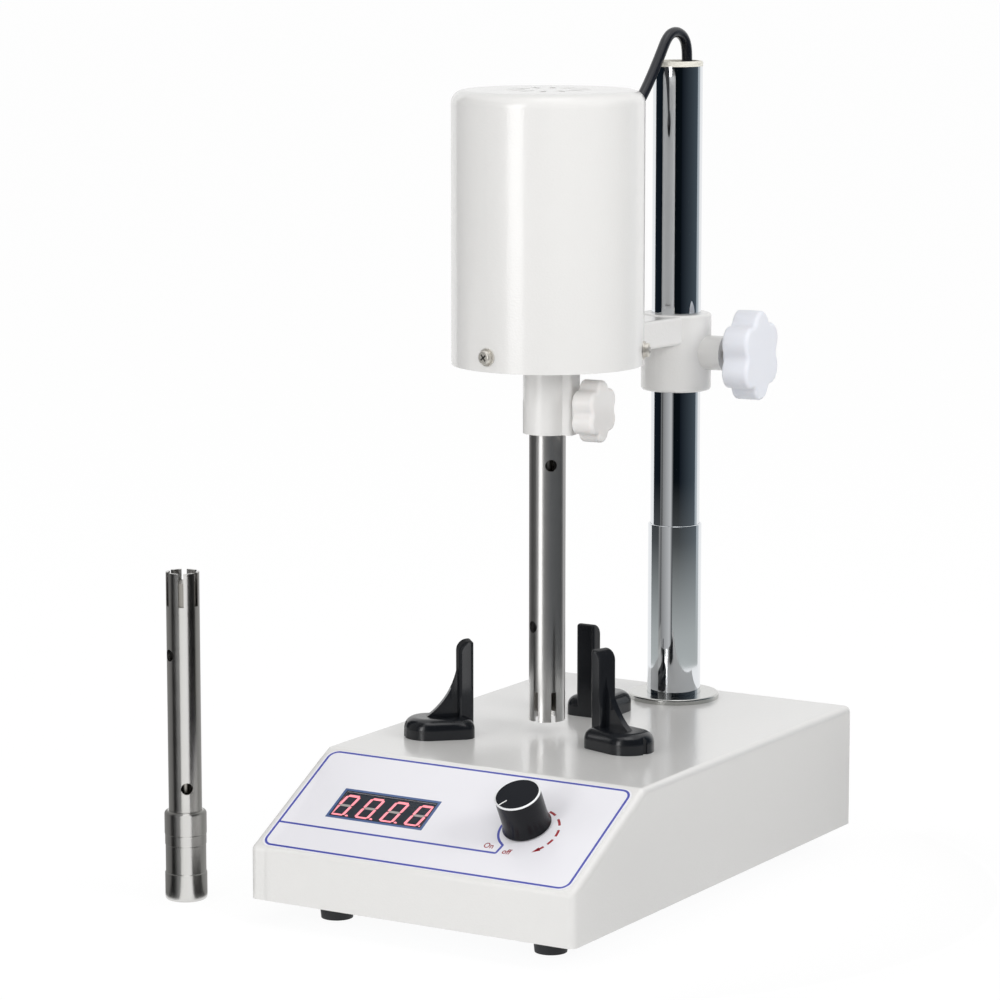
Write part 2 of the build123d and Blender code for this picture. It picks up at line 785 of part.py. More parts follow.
with BuildPart() as head_casting:
    add(clamp_ring.part)
    add(clamp_arm.part)
    add(tool_neck.part)
    with BuildSketch(boss_plane):
        Circle(boss_diameter / 2)
    extrude(amount=boss_length)
    with BuildSketch(tool_plane(cover_bottom)):
        Circle(cover_radius)
    extrude(amount=cover_thickness)
    with BuildSketch(tool_plane(cover_bottom)):
        Circle(cover_radius)
        Circle(cover_radius - cover_rim_width, mode=Mode.SUBTRACT)
    extrude(amount=cover_rim_height)
    with BuildSketch(tool_plane(cover_top)):
        Circle(hub_radius)
    extrude(amount=hub_top - cover_top)
    with BuildSketch(tool_plane(cover_top)):
        rib_length = cover_radius - cover_rim_width - hub_radius + 1
        with PolarLocations(hub_radius + rib_length / 2 - 0.5, 4, start_angle=45):
            Rectangle(rib_length, cover_rib)
    extrude(amount=cover_rib_height)
    with BuildSketch(tool_plane(cover_top)):
        with Locations((0, bolt_radius), (0, -bolt_radius)):
            Circle(motor_post_diameter / 2)
    extrude(amount=core_bottom - cover_top)
    with BuildSketch(ring_plane):
        Circle(ring_bore)
    extrude(amount=ring_height, mode=Mode.SUBTRACT)
    with BuildSketch(tool_plane(neck_bottom)):
        Circle(neck_bore)
    extrude(amount=neck_bore_depth, mode=Mode.SUBTRACT)
    with BuildSketch(tool_plane(neck_top)):
        Circle(motor_shaft_diameter / 2 + shaft_hole_air)
    extrude(amount=bearing_seat - neck_top, mode=Mode.SUBTRACT)
    with BuildSketch(tool_plane(bearing_seat)):
        Circle(bearing_outer / 2 + press_gap)
    extrude(amount=hub_top - bearing_seat, mode=Mode.SUBTRACT)
    with BuildSketch(tool_plane(core_bottom)):
        with Locations((0, bolt_radius), (0, -bolt_radius)):
            Circle(m4_diameter / 2 + running_gap)
    extrude(amount=-motor_bolt_grip - 1, mode=Mode.SUBTRACT)
    for stud_plane, reach in ((boss_plane, boss_length), (lug_plane, lug_reach)):
        with BuildSketch(stud_plane):
            Circle(stud_diameter / 2 + running_gap)
        extrude(amount=reach, mode=Mode.SUBTRACT)
    for azimuth in screw_azimuths:
        with BuildSketch(radial_plane(tool_x, tool_y, housing_screw_height, azimuth,
                                      cover_radius - cover_rim_width - 1)):
            Circle(housing_screw_diameter / 2 + running_gap)
        extrude(amount=cover_rim_width + 2, mode=Mode.SUBTRACT)
save(head_casting.part, "head_casting")

# ================================================================ motor housing
housing_radius = housing_diameter / 2
cable_azimuth = head_azimuth + 180


def housing_form(inset):
    """Round-shouldered can, drawn in by an inset at its side and top."""
    with BuildPart() as form:
        with BuildSketch(tool_plane(housing_bottom)):
            Circle(housing_radius - inset)
        extrude(amount=housing_top - housing_bottom - inset)
        fillet(form.faces().sort_by(Axis.Z)[-1].edges(), housing_shoulder - inset)
    return form.part


with BuildPart() as motor_housing:
    add(housing_form(0))
    add(housing_form(housing_wall), mode=Mode.SUBTRACT)
    notch_height = arm_bottom + arm_height + loose_gap - housing_bottom
    with BuildSketch(tool_plane(housing_bottom)):
        with Locations((-housing_radius, 0)):
            Rectangle(housing_radius, arm_width + 2 * loose_gap)
    extrude(amount=notch_height, mode=Mode.SUBTRACT)
    for azimuth in screw_azimuths:
        with BuildSketch(radial_plane(tool_x, tool_y, housing_screw_height, azimuth,
                                      housing_inside - housing_cut_inset)):
            Circle(housing_screw_diameter / 2 + fit_gap)
        extrude(amount=housing_cut, mode=Mode.SUBTRACT)
    with BuildSketch(radial_plane(tool_x, tool_y, grommet_height, cable_azimuth,
                                  housing_inside - housing_cut_inset)):
        Circle(grommet_hole / 2)
    extrude(amount=housing_cut, mode=Mode.SUBTRACT)
    with BuildSketch(tool_plane(housing_top)):
        with PolarLocations(vent_ring_radius, vent_count):
            SlotOverall(vent_length, vent_width)
    extrude(amount=-2 * housing_wall, mode=Mode.SUBTRACT)
save(motor_housing.part, "motor_housing")

housing_screws = []
for azimuth in screw_azimuths:
    washer_plane = radial_plane(tool_x, tool_y, housing_screw_height, azimuth, housing_radius)
    with BuildPart() as washer_screw:
        with BuildSketch(washer_plane):
            Circle(housing_washer_diameter / 2)
        extrude(amount=washer_thickness)
        add(screw(washer_plane.offset(washer_thickness), housing_screw_diameter,
                  housing_screw_head, housing_screw_head_height, housing_screw_length))
    housing_screws.append(washer_screw.part)
save(Compound(children=housing_screws), "housing_screws")

grommet_axis = radial_plane(tool_x, tool_y, grommet_height, cable_azimuth)
inner_flange = housing_inside - grommet_slack
with BuildPart() as lead_grommet:
    add(ring(grommet_axis.offset(housing_radius), grommet_flange / 2,
             lead_diameter / 2 + fit_gap, grommet_head))
    add(ring(grommet_axis.offset(inner_flange), grommet_hole / 2 - fit_gap,
             lead_diameter / 2 + fit_gap, housing_radius - inner_flange))
    add(ring(grommet_axis.offset(inner_flange - grommet_lip),
             grommet_flange / 2 - grommet_lip_step, lead_diameter / 2 + fit_gap, grommet_lip))
    fillet(lead_grommet.faces().sort_by(Axis(grommet_axis.origin, grommet_axis.z_dir))[-1]
           .edges().sort_by(SortBy.RADIUS)[-1], grommet_round)
save(lead_grommet.part, "lead_grommet")

# ================================================================ motor
yoke_bore = core_diameter / 2 - core_ring
shoe_radius = core_bore / 2 + pole_shoe
with BuildSketch() as pole_shoes:
    Circle(shoe_radius)
    Rectangle(2 * shoe_radius, pole_shoe_width, mode=Mode.INTERSECT)

with BuildPart() as field_core:
    with BuildSketch(tool_plane(core_bottom)):
        Circle(core_diameter / 2)
        Circle(yoke_bore, mode=Mode.SUBTRACT)
        Rectangle(2 * yoke_bore + 1, pole_width)
        add(pole_shoes.sketch)
        Circle(core_bore / 2, mode=Mode.SUBTRACT)
        with Locations((0, bolt_radius), (0, -bolt_radius)):
            Circle(m4_diameter / 2 + fit_gap, mode=Mode.SUBTRACT)
    extrude(amount=core_length)
save(field_core.part, "field_core")

core_middle = core_bottom + core_length / 2
with BuildPart() as field_coils:
    for azimuth in (head_azimuth, head_azimuth + 180):
        with BuildSketch(radial_plane(tool_x, tool_y, core_middle, azimuth,
                                      shoe_radius + fit_gap)):
            RectangleRounded(pole_width + 2 * (coil_side + fit_gap),
                             core_length + 2 * (coil_end_turn + fit_gap), coil_corner)
            Rectangle(pole_width + 2 * fit_gap, core_length + 2 * fit_gap,
                      mode=Mode.SUBTRACT)
        extrude(amount=coil_depth)
save(field_coils.part, "field_coils")

with BuildPart() as motor_bracket:
    with BuildSketch(tool_plane(bracket_height)):
        Rectangle(bracket_width, 2 * bolt_radius)
        Rectangle(2 * terminal_distance, bracket_width)
        Circle(hub_radius)
    extrude(amount=bracket_thickness)
    with BuildSketch(tool_plane(bracket_height)):
        Circle(hub_radius)
    extrude(amount=bearing_width + bracket_hub_rim)
    with BuildSketch(tool_plane(core_top)):
        with Locations((0, bolt_radius), (0, -bolt_radius)):
            Circle(motor_post_diameter / 2)
    extrude(amount=bracket_top - core_top)
    with BuildSketch(tool_plane(bracket_height)):
        Circle(motor_shaft_diameter / 2 + shaft_hole_air)
    extrude(amount=bracket_thickness, mode=Mode.SUBTRACT)
    with BuildSketch(tool_plane(upper_bearing_seat)):
        Circle(bearing_outer / 2 + press_gap)
    extrude(amount=bearing_width, mode=Mode.SUBTRACT)
    with BuildSketch(tool_plane(core_top)):
        with Locations((0, bolt_radius), (0, -bolt_radius)):
            Circle(m4_diameter / 2 + fit_gap)
    extrude(amount=bracket_top - core_top, mode=Mode.SUBTRACT)
save(motor_bracket.part, "motor_bracket")

motor_bolts = [screw(Plane(origin=tool_plane(bracket_top).from_local_coords(Vector(0, side, 0)),
                           z_dir=(0, 0, 1)),
                     m4_diameter, m4_head_diameter, m4_head_height,
                     bracket_top - core_bottom + motor_bolt_grip)
               for side in (-bolt_radius, bolt_radius)]
save(Compound(children=motor_bolts), "motor_bolts")

with BuildPart() as motor_terminal:
    with BuildSketch(tool_plane(bracket_top)):
        with Locations((-terminal_distance + terminal_size / 2, 0)):
            Rectangle(terminal_size, terminal_size + terminal_side)
    extrude(amount=terminal_size)
save(motor_terminal.part, "motor_terminal")


def bearing(height):
    """Shielded ball bearing with a shallow groove round each shield."""
    with BuildPart() as piece:
        add(ring(tool_plane(height), bearing_outer / 2,
                 motor_shaft_diameter / 2 + running_gap, bearing_width))
        for level, way in ((height, 1), (height + bearing_width, -1)):
            with BuildSketch(tool_plane(level)):
                Circle(bearing_outer / 2 - shield_inset)
                Circle(motor_shaft_diameter / 2 + shield_inset, mode=Mode.SUBTRACT)
            extrude(amount=way * shield_depth, mode=Mode.SUBTRACT)
    return piece.part


save(bearing(bearing_seat), "lower_bearing")
save(bearing(upper_bearing_seat), "upper_bearing")

brush_height = commutator_bottom + commutator_length / 2
brush_reach = commutator_diameter / 2 + fit_gap
with BuildPart() as carbon_brushes:
    for azimuth in (head_azimuth, head_azimuth + 180):
        with BuildSketch(radial_plane(tool_x, tool_y, brush_height, azimuth, brush_reach)):
            Rectangle(brush_size, brush_size)
        extrude(amount=brush_length)
save(carbon_brushes.part, "carbon_brushes")

with BuildPart() as brush_holders:
    for azimuth in (head_azimuth, head_azimuth + 180):
        holder_plane = radial_plane(tool_x, tool_y, brush_height, azimuth,
                                    brush_reach + brush_overhang)
        holder_rise = bracket_height - brush_height
        with BuildSketch(holder_plane):
            with Locations((0, (holder_rise - brush_size / 2 - brush_holder_floor) / 2)):
                Rectangle(brush_size + 2 * brush_holder_wall,
                          holder_rise + brush_size / 2 + brush_holder_floor)
            Rectangle(brush_size + 2 * fit_gap, brush_size + 2 * fit_gap, mode=Mode.SUBTRACT)
        extrude(amount=brush_holder_length)
save(brush_holders.part, "brush_holders")

# ---------------------------------------------------------------- motor rotor
shaft_bottom = coupling_end - coupling_grip
shaft_top = upper_bearing_seat + bearing_width
with BuildPart() as motor_shaft:
    with BuildSketch(tool_plane(shaft_bottom)):
        Circle(motor_shaft_diameter / 2)
    extrude(amount=shaft_top - shaft_bottom)
    chamfer(motor_shaft.edges(), shaft_chamfer)
save(motor_shaft.part, "motor_shaft")

shaft_seat = motor_shaft_diameter / 2 + press_gap
with BuildPart() as armature_core:
    with BuildSketch(tool_plane(core_bottom)):
        Circle(armature_radius)
        with PolarLocations(armature_radius - armature_slot_inset, armature_slots):
            Rectangle(armature_slot_depth, armature_slot_width, mode=Mode.SUBTRACT)
        Circle(shaft_seat, mode=Mode.SUBTRACT)
    extrude(amount=core_length)
save(armature_core.part, "armature_core")

winding_radius = armature_radius - winding_inset
save(Compound(children=[
    ring(tool_plane(core_bottom - lower_winding_height), winding_radius, shaft_seat,
         lower_winding_height),
    ring(tool_plane(core_top), winding_radius - upper_winding_step, shaft_seat,
         upper_winding_height)]),
    "armature_windings")

with BuildPart() as commutator:
    with BuildSketch(tool_plane(commutator_bottom)):
        Circle(commutator_diameter / 2)
        with PolarLocations(commutator_diameter / 2, armature_slots):
            Rectangle(commutator_slot_depth, commutator_slot_width, mode=Mode.SUBTRACT)
        Circle(shaft_seat, mode=Mode.SUBTRACT)
    extrude(amount=commutator_length)
save(commutator.part, "commutator")

with BuildPart() as cooling_fan:
    add(ring(tool_plane(fan_bottom), fan_diameter / 2, shaft_seat, fan_disc))
    add(ring(tool_plane(fan_bottom), fan_hub_radius, shaft_seat, fan_height))
    with BuildSketch(tool_plane(fan_bottom + fan_disc)):
        blade_length = fan_diameter / 2 - fan_hub_radius
        with PolarLocations(fan_hub_radius - fan_blade_root + blade_length / 2, fan_blades):
            Rectangle(blade_length, fan_blade_thickness)
    extrude(amount=fan_height - fan_disc)
save(cooling_fan.part, "cooling_fan")

coupling_bottom = coupling_end - coupling_length
with BuildPart() as drive_coupling:
    with BuildSketch(tool_plane(coupling_bottom)):
        Circle(coupling_diameter / 2)
    extrude(amount=coupling_length)
    chamfer(drive_coupling.edges().group_by(Axis.Z)[0], coupling_chamfer)
    with BuildSketch(tool_plane(coupling_bottom)):
        Rectangle(2 * coupling_diameter, coupling_slot)
    extrude(amount=coupling_slot_depth, mode=Mode.SUBTRACT)
    with BuildSketch(tool_plane(coupling_end)):
        Circle(shaft_seat)
    extrude(amount=-coupling_grip, mode=Mode.SUBTRACT)
save(drive_coupling.part, "drive_coupling")


# ================================================================ working heads
def stator_tube(root, tube_diameter, length, slot_depth, holes):
    """Outer tube: turned collar at the drive end, cross holes, and slots cut in from the tip."""
    collar = collar_diameter / 2
    waist = collar - collar_relief
    tube = tube_diameter / 2
    bore = tube - tube_wall
    with BuildPart() as piece:
        with BuildSketch(Plane(origin=root.origin, x_dir=root.x_dir, z_dir=-root.y_dir)):
            with BuildLine():
                Polyline((coupling_bore / 2, 0), (collar - collar_end_round, 0))
                RadiusArc((collar - collar_end_round, 0), (collar, collar_end_round),
                          -collar_end_round)
                Polyline((collar, collar_end_round), (collar, collar_land),
                         (waist, collar_land + collar_step), (waist, collar_band_start),
                         (waist + collar_band, collar_band_start + collar_step),
                         (waist + collar_band, collar_band_end),
                         (collar, collar_band_end + collar_step),
                         (collar, collar_length - collar_nose_round))
                RadiusArc((collar, collar_length - collar_nose_round),
                          (collar - collar_nose_round, collar_length), -collar_nose_round)
                Polyline((collar - collar_nose_round, collar_length), (tube, collar_length),
                         (tube, length), (bore, length), (bore, coupling_chamber),
                         (coupling_bore / 2, coupling_chamber), (coupling_bore / 2, 0))
            make_face()
        revolve(axis=Axis(root.origin, root.z_dir))
        with BuildSketch(root.offset(length)):
            with PolarLocations(tube - tube_wall / 2, stator_slots):
                Rectangle(2 * tube_wall, stator_slot_width)
        extrude(amount=-slot_depth, mode=Mode.SUBTRACT)
        for from_tip, azimuth in holes:
            level = root.offset(length - from_tip).origin
            with BuildSketch(radial_plane(level.X, level.Y, level.Z, azimuth, -tube_diameter)):
                Circle(tube_hole_diameter / 2)
            extrude(amount=2 * tube_diameter, mode=Mode.SUBTRACT)
    return piece.part


def tool_bushes(root, tube_diameter, length):
    """Two plain bushes that carry the inner shaft, one below the coupling, one over the slots."""
    outer = tube_diameter / 2 - tube_wall - press_gap
    inner = tool_shaft_diameter / 2 + running_gap
    starts = (coupling_chamber + bush_gap, length - bush_from_tip - bush_length)
    return Compound(children=[ring(root.offset(start), outer, inner, bush_length)
                              for start in starts])


def tool_shaft(root, length):
    """Inner shaft with a flat tang that drops into the slot of the motor coupling."""
    with BuildPart() as piece:
        with BuildSketch(root.offset(tang_end)):
            Circle(tool_shaft_diameter / 2)
        extrude(amount=length - rotor_recess - rotor_cap - tang_end)
        with BuildSketch(root.offset(tang_end)):
            Rectangle(tang_width, coupling_slot - 2 * fit_gap)
        extrude(amount=-tang_length)
    return piece.part


def rotor_head(root, tube_diameter, length):
    """Four-bladed rotor that turns inside the slotted end of the tube."""
    reach = tube_diameter / 2 - tube_wall - rotor_gap
    with BuildPart() as piece:
        with BuildSketch(root.offset(length - rotor_recess)):
            Circle(reach)
            with BuildSketch(mode=Mode.INTERSECT):
                Rectangle(2 * reach, blade_thickness)
                Rectangle(blade_thickness, 2 * reach)
                Circle(tool_shaft_diameter / 2 + rotor_hub_wall)
        extrude(amount=-rotor_height)
        with BuildSketch(root.offset(length - rotor_recess - rotor_height)):
            Circle(tool_shaft_diameter / 2 + press_gap)
        extrude(amount=rotor_height - rotor_cap, mode=Mode.SUBTRACT)
    return piece.part


fitted_root = Plane(origin=(tool_x, tool_y, neck_top), x_dir=head_dir, z_dir=(0, 0, -1))
spare_root = Plane(origin=(spare_x, spare_y, 0), x_dir=radial_plane(0, 0, 0, spare_turn).z_dir,
                   z_dir=(0, 0, 1))
save(stator_tube(fitted_root, fitted_tube_diameter, fitted_tool_length, fitted_slot_depth,
                 fitted_holes), "stator_tube")
save(tool_bushes(fitted_root, fitted_tube_diameter, fitted_tool_length), "shaft_bushes")
save(tool_shaft(fitted_root, fitted_tool_length), "rotor_shaft")
save(rotor_head(fitted_root, fitted_tube_diameter, fitted_tool_length), "rotor_blades")
save(stator_tube(spare_root, spare_tube_diameter, spare_tool_length, spare_slot_depth,
                 spare_holes), "spare_stator_tube")
save(tool_bushes(spare_root, spare_tube_diameter, spare_tool_length), "spare_shaft_bushes")
save(tool_shaft(spare_root, spare_tool_length), "spare_rotor_shaft")
save(rotor_head(spare_root, spare_tube_diameter, spare_tool_length), "spare_rotor_blades")


# ================================================================ clamp knobs
def star_knob(back, diameter, depth, hub_length):
    """Lobed clamp knob on a hub: the plane is the back of the hub, facing outward."""
    lobe = diameter * lobe_share
    with BuildPart() as piece:
        with BuildSketch(back.offset(hub_length)) as outline:
            Circle(diameter / 2 - core_share * lobe)
            with PolarLocations(diameter / 2 - lobe, knob_lobes, start_angle=lobe_start):
                Circle(lobe)
            fillet(outline.vertices(), lobe * valley_share)
        extrude(amount=depth)
        facing = Axis(back.origin, back.z_dir)
        fillet(piece.faces().sort_by(facing)[-1].edges(), knob_round)
        fillet(piece.faces().sort_by(facing)[0].edges(), knob_round / 2)
        with BuildSketch(back):
            Circle(stud_diameter / 2 + hub_wall)
        extrude(amount=hub_length)
        with BuildSketch(back):
            Circle(stud_diameter / 2 + press_gap)
        extrude(amount=hub_length + depth - knob_face_wall, mode=Mode.SUBTRACT)
    return piece.part


def stud(axis_plane, start, end):
    """Plain clamp stud along the axis of a plane."""
    with BuildPart() as piece:
        with BuildSketch(axis_plane.offset(start)):
            Circle(stud_diameter / 2)
        extrude(amount=end - start)
        chamfer(piece.edges().sort_by(Axis(axis_plane.origin, axis_plane.z_dir))[0],
                stud_chamfer)
    return piece.part


big_hub_start = boss_length + big_knob_air
small_hub_start = lug_reach + small_knob_air
save(star_knob(boss_plane.offset(big_hub_start), big_knob_diameter, big_knob_depth,
               big_hub_length), "height_knob")
save(stud(boss_plane, post_diameter / 2 + running_gap,
          big_hub_start + big_hub_length + big_knob_depth - knob_face_wall), "height_knob_stud")
save(star_knob(lug_plane.offset(small_hub_start), small_knob_diameter, small_knob_depth,
               small_hub_length), "tool_knob")
save(stud(lug_plane, collar_diameter / 2 + running_gap,
          small_hub_start + small_hub_length + small_knob_depth - knob_face_wall),
     "tool_knob_stud")


# ================================================================ vessel claws
def claw(azimuth):
    """Moulded claw: a pillow foot, an upright that meets the vessel and a curved rib."""
    base = vessel_plane(azimuth, shell_top)
    upright = Plane(origin=base.origin, x_dir=base.x_dir, z_dir=-base.y_dir)
    face = vessel_radius
    back = face + claw_plate
    toe = face + claw_foot_length
    rib_toe = face + claw_rib_end
    with BuildPart() as foot:
        with BuildSketch(base):
            with Locations((face + claw_foot_length / 2, 0)):
                Rectangle(claw_foot_length, claw_foot_width)
        extrude(amount=claw_foot_height)
        outer = foot.edges().filter_by(Axis.Z).sort_by(Axis(base.origin, base.x_dir))
        fillet(outer[-2:], claw_toe_radius)
        fillet(outer[:2], claw_heel_radius)
        crown = foot.faces().sort_by(Axis.Z)[-1].edges()
        fillet(crown, claw_pillow)
        with BuildSketch(base):
            with Locations((toe, 0)):
                Circle(claw_groove)
        extrude(amount=claw_foot_height, mode=Mode.SUBTRACT)
    with BuildPart() as plate:
        with BuildSketch(upright):
            with BuildLine():
                Polyline((face, 0), (face, claw_height - claw_top_round))
                RadiusArc((face, claw_height - claw_top_round),
                          (face + claw_top_round, claw_height), claw_top_round)
                Line((face + claw_top_round, claw_height), (back - claw_crown, claw_height))
                RadiusArc((back - claw_crown, claw_height),
                          (back, claw_height - claw_crown), claw_crown)
                Polyline((back, claw_height - claw_crown), (back, 0), (face, 0))
            make_face()
        extrude(amount=claw_plate_width / 2, both=True)
        fillet(plate.edges().filter_by(Axis.Z), claw_plate_round)
    with BuildPart() as piece:
        add(foot.part)
        add(plate.part)
        with BuildSketch(upright):
            with BuildLine():
                Polyline((back - claw_rib_bury, claw_rib_top), (back, claw_rib_top))
                ThreePointArc((back, claw_rib_top),
                              ((back + rib_toe) / 2 - claw_rib_sag,
                               (claw_rib_top + claw_foot_height) / 2 - claw_rib_sag),
                              (rib_toe, claw_foot_height - claw_rib_root))
                Polyline((rib_toe, claw_foot_height - claw_rib_root), (rib_toe, claw_rib_bury),
                         (back - claw_rib_bury, claw_rib_bury),
                         (back - claw_rib_bury, claw_rib_top))
            make_face()
        extrude(amount=claw_rib / 2, both=True)
        with BuildSketch(base):
            with Locations((face + claw_screw_from_face, 0)):
                Circle(m4_diameter / 2 + press_gap)
        extrude(amount=claw_screw_grip, mode=Mode.SUBTRACT)
    return piece.part


for name, azimuth in claw_angles.items():
    save(claw(azimuth), name)
    washer_seat = vessel_plane(azimuth, shell_top - shell_wall - running_gap)
    under = Plane(origin=washer_seat.from_local_coords(
        Vector(vessel_radius + claw_screw_from_face, 0, 0)), x_dir=washer_seat.x_dir,
        z_dir=(0, 0, -1))
    save(screw(under, m4_diameter, claw_screw_head, m4_head_height,
               shell_wall + running_gap + claw_screw_grip), f"{name}_screw")

# ================================================================ lead to the motor
# Distance from the column axis towards the tool, and height, of each turn of the lead.
lead_route = [(0.0, terminal_top), (0.0, shell_top + 20), (-1.5, shell_top + 78),
              (-4.2, shell_top + 136), (-6.4, shell_top + 192), (-7.15, shell_top + 244),
              (-6.8, post_top - 22.8), (-7.1, post_top - 2.3), (-7.0, post_top + 9.4),
              (-3.3, post_top + 14.4), (2.6, post_top + 16.2), (8.5, post_top + 14.1),
              (14.2, post_top + 5.4), (20.6, post_top - 3.8), (27.4, post_top - 12.4),
              (35.6, post_top - 20.8), (46.0, grommet_height),
              (head_reach - terminal_distance, grommet_height)]


def turn_radii(route):
    """Largest arc at each turn that its two runs leave room for."""
    radii = []
    for before, here, after in zip(route, route[1:], route[2:]):
        run_in, run_out = here - before, after - here
        half_turn = run_in.get_angle(run_out) / 2
        radii.append(0.45 * min(run_in.length, run_out.length) / tan(radians(half_turn)))
    return radii


lead_points = [column_plane(height).from_local_coords(Vector(out, 0, 0))
               for out, height in lead_route]
lead_radii = turn_radii(lead_points)
print("lead turn radii:", [round(radius, 1) for radius in lead_radii])
with BuildPart() as motor_lead:
    with BuildLine() as lead_path:
        FilletPolyline(*lead_points, radius=lead_radii)
    with BuildSketch(Plane(origin=lead_points[0], z_dir=(0, 0, 1))):
        Circle(lead_diameter / 2)
    sweep()
save(motor_lead.part, "motor_lead")
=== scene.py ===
"""Looks of a bench rotor stator homogenizer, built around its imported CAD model."""
from math import atan2, cos, degrees, pi, radians, sin

import bmesh
import bpy
from mathutils import Matrix, Vector


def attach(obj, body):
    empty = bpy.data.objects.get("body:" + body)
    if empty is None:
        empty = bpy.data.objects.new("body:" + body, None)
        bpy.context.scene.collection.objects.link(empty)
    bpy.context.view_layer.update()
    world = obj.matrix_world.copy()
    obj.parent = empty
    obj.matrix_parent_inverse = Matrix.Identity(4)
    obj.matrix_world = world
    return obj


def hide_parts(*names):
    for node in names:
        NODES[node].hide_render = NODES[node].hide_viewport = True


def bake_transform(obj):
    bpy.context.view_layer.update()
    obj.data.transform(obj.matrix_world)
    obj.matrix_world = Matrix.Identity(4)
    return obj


bl_info = {
    "name": "Rotor stator homogenizer",
    "version": (1, 0, 0),
    "blender": (4, 5, 0),
    "location": "3D Viewport > Sidebar > Homogenizer",
    "description": "Finishes, print, display and lead of a bench homogenizer",
    "category": "Object",
}

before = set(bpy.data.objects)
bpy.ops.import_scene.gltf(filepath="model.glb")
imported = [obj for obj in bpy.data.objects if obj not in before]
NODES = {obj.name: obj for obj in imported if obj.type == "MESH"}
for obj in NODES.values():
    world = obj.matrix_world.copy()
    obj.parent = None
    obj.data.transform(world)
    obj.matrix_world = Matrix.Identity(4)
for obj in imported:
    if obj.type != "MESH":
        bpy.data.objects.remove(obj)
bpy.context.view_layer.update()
MM = 0.001

# Places shared with the CAD model, in metres, and the way from the column to the head.
COLUMN_Y = 0.1061
TOOL_AXIS = Vector((-0.013047, 0.008317, 0.0))
HEAD_AZIMUTH = -97.6
HOUSING_SCREW_LEVEL = 0.2452


def linear(code):
    """sRGB hex code as the linear colour that Blender's sockets hold."""
    parts = [int(code[i:i + 2], 16) / 255 for i in (1, 3, 5)]
    return (*(c / 12.92 if c <= 0.04045 else ((c + 0.055) / 1.055) ** 2.4 for c in parts), 1.0)


def shaded(colour, factor):
    """A linear colour made lighter or darker."""
    return (*(min(1.0, c * factor) for c in colour[:3]), 1.0)


# ---------------------------------------------------------------- sizes and colours
def length_prop(name, description, default):
    return bpy.props.FloatProperty(name=name, description=description, default=default,
                                   min=0.0, unit="LENGTH", subtype="DISTANCE", precision=5)


def colour_prop(name, description, code):
    return bpy.props.FloatVectorProperty(name=name, description=description, size=4,
                                         subtype="COLOR", min=0.0, max=1.0,
                                         default=linear(code))


class HomogenizerSizes(bpy.types.PropertyGroup):
    line_width: length_prop("Print line", "Width of the printed blue lines", 1.1 * MM)
    arrow_width: length_prop("Arrow line", "Width of the dashed red arrow", 1.15 * MM)
    ink_thickness: length_prop("Ink", "Thickness of the print on the panel film", 0.03 * MM)
    digit_height: length_prop("Digit height", "Height of a figure on the display", 14.2 * MM)
    digit_width: length_prop("Digit width", "Width of a figure on the display", 7.5 * MM)
    digit_pitch: length_prop("Digit pitch", "Distance between two figures", 12.8 * MM)
    segment_width: length_prop("Segment", "Width of one bar of a figure", 1.35 * MM)
    lead_diameter: length_prop("Lead", "Diameter of the motor lead", 5.0 * MM)
    orange_peel: length_prop("Orange peel", "Size of the waves in the powder coat", 0.9 * MM)


class HomogenizerColours(bpy.types.PropertyGroup):
    paint: colour_prop("Paint", "Powder coat of base, casting and housing", "#EAE9E7")
    film: colour_prop("Panel film", "Printed film on the sloping front", "#F1F0F5")
    blue_ink: colour_prop("Blue ink", "Outline and divider on the film", "#4A52B0")
    frame_ink: colour_prop("Frame ink", "Border round the display", "#4F6796")
    red_ink: colour_prop("Red ink", "Arrow and switch marks by the dial", "#9E1C2A")
    claw: colour_prop("Claws", "Moulded vessel claws", "#15171B")
    lead: colour_prop("Lead", "Jacket of the motor lead", "#14161E")
    big_knob: colour_prop("Height knob", "Milky nylon of the large knob", "#EEF0F8")
    small_knob: colour_prop("Tool knob", "White nylon of the small knob", "#ECEAE8")
    lit_segment: colour_prop("Lit bar", "Bars of the display that glow", "#FC8E96")
    dark_segment: colour_prop("Dark bar", "Middle bar of a figure, unlit", "#B9B1AA")


# ---------------------------------------------------------------- materials
def add_node(tree, kind, inputs=None, **settings):
    """Add one node with its settings, and fill or link its inputs."""
    made = tree.nodes.new(kind)
    for name, value in settings.items():
        setattr(made, name, value)
    for socket, value in (inputs or {}).items():
        if isinstance(value, bpy.types.NodeSocket):
            tree.links.new(value, made.inputs[socket])
        else:
            made.inputs[socket].default_value = value
    return made


def new_material(name, roughness, metallic=0.0, **sockets):
    """A material with constants on its shader's own sockets."""
    made = bpy.data.materials.new(name)
    made.use_nodes = True
    tree = made.node_tree
    shader = tree.nodes["Principled BSDF"]
    shader.inputs["Roughness"].default_value = roughness
    shader.inputs["Metallic"].default_value = metallic
    for socket, value in sockets.items():
        shader.inputs[socket.replace("_", " ")].default_value = value
    return made, tree, shader


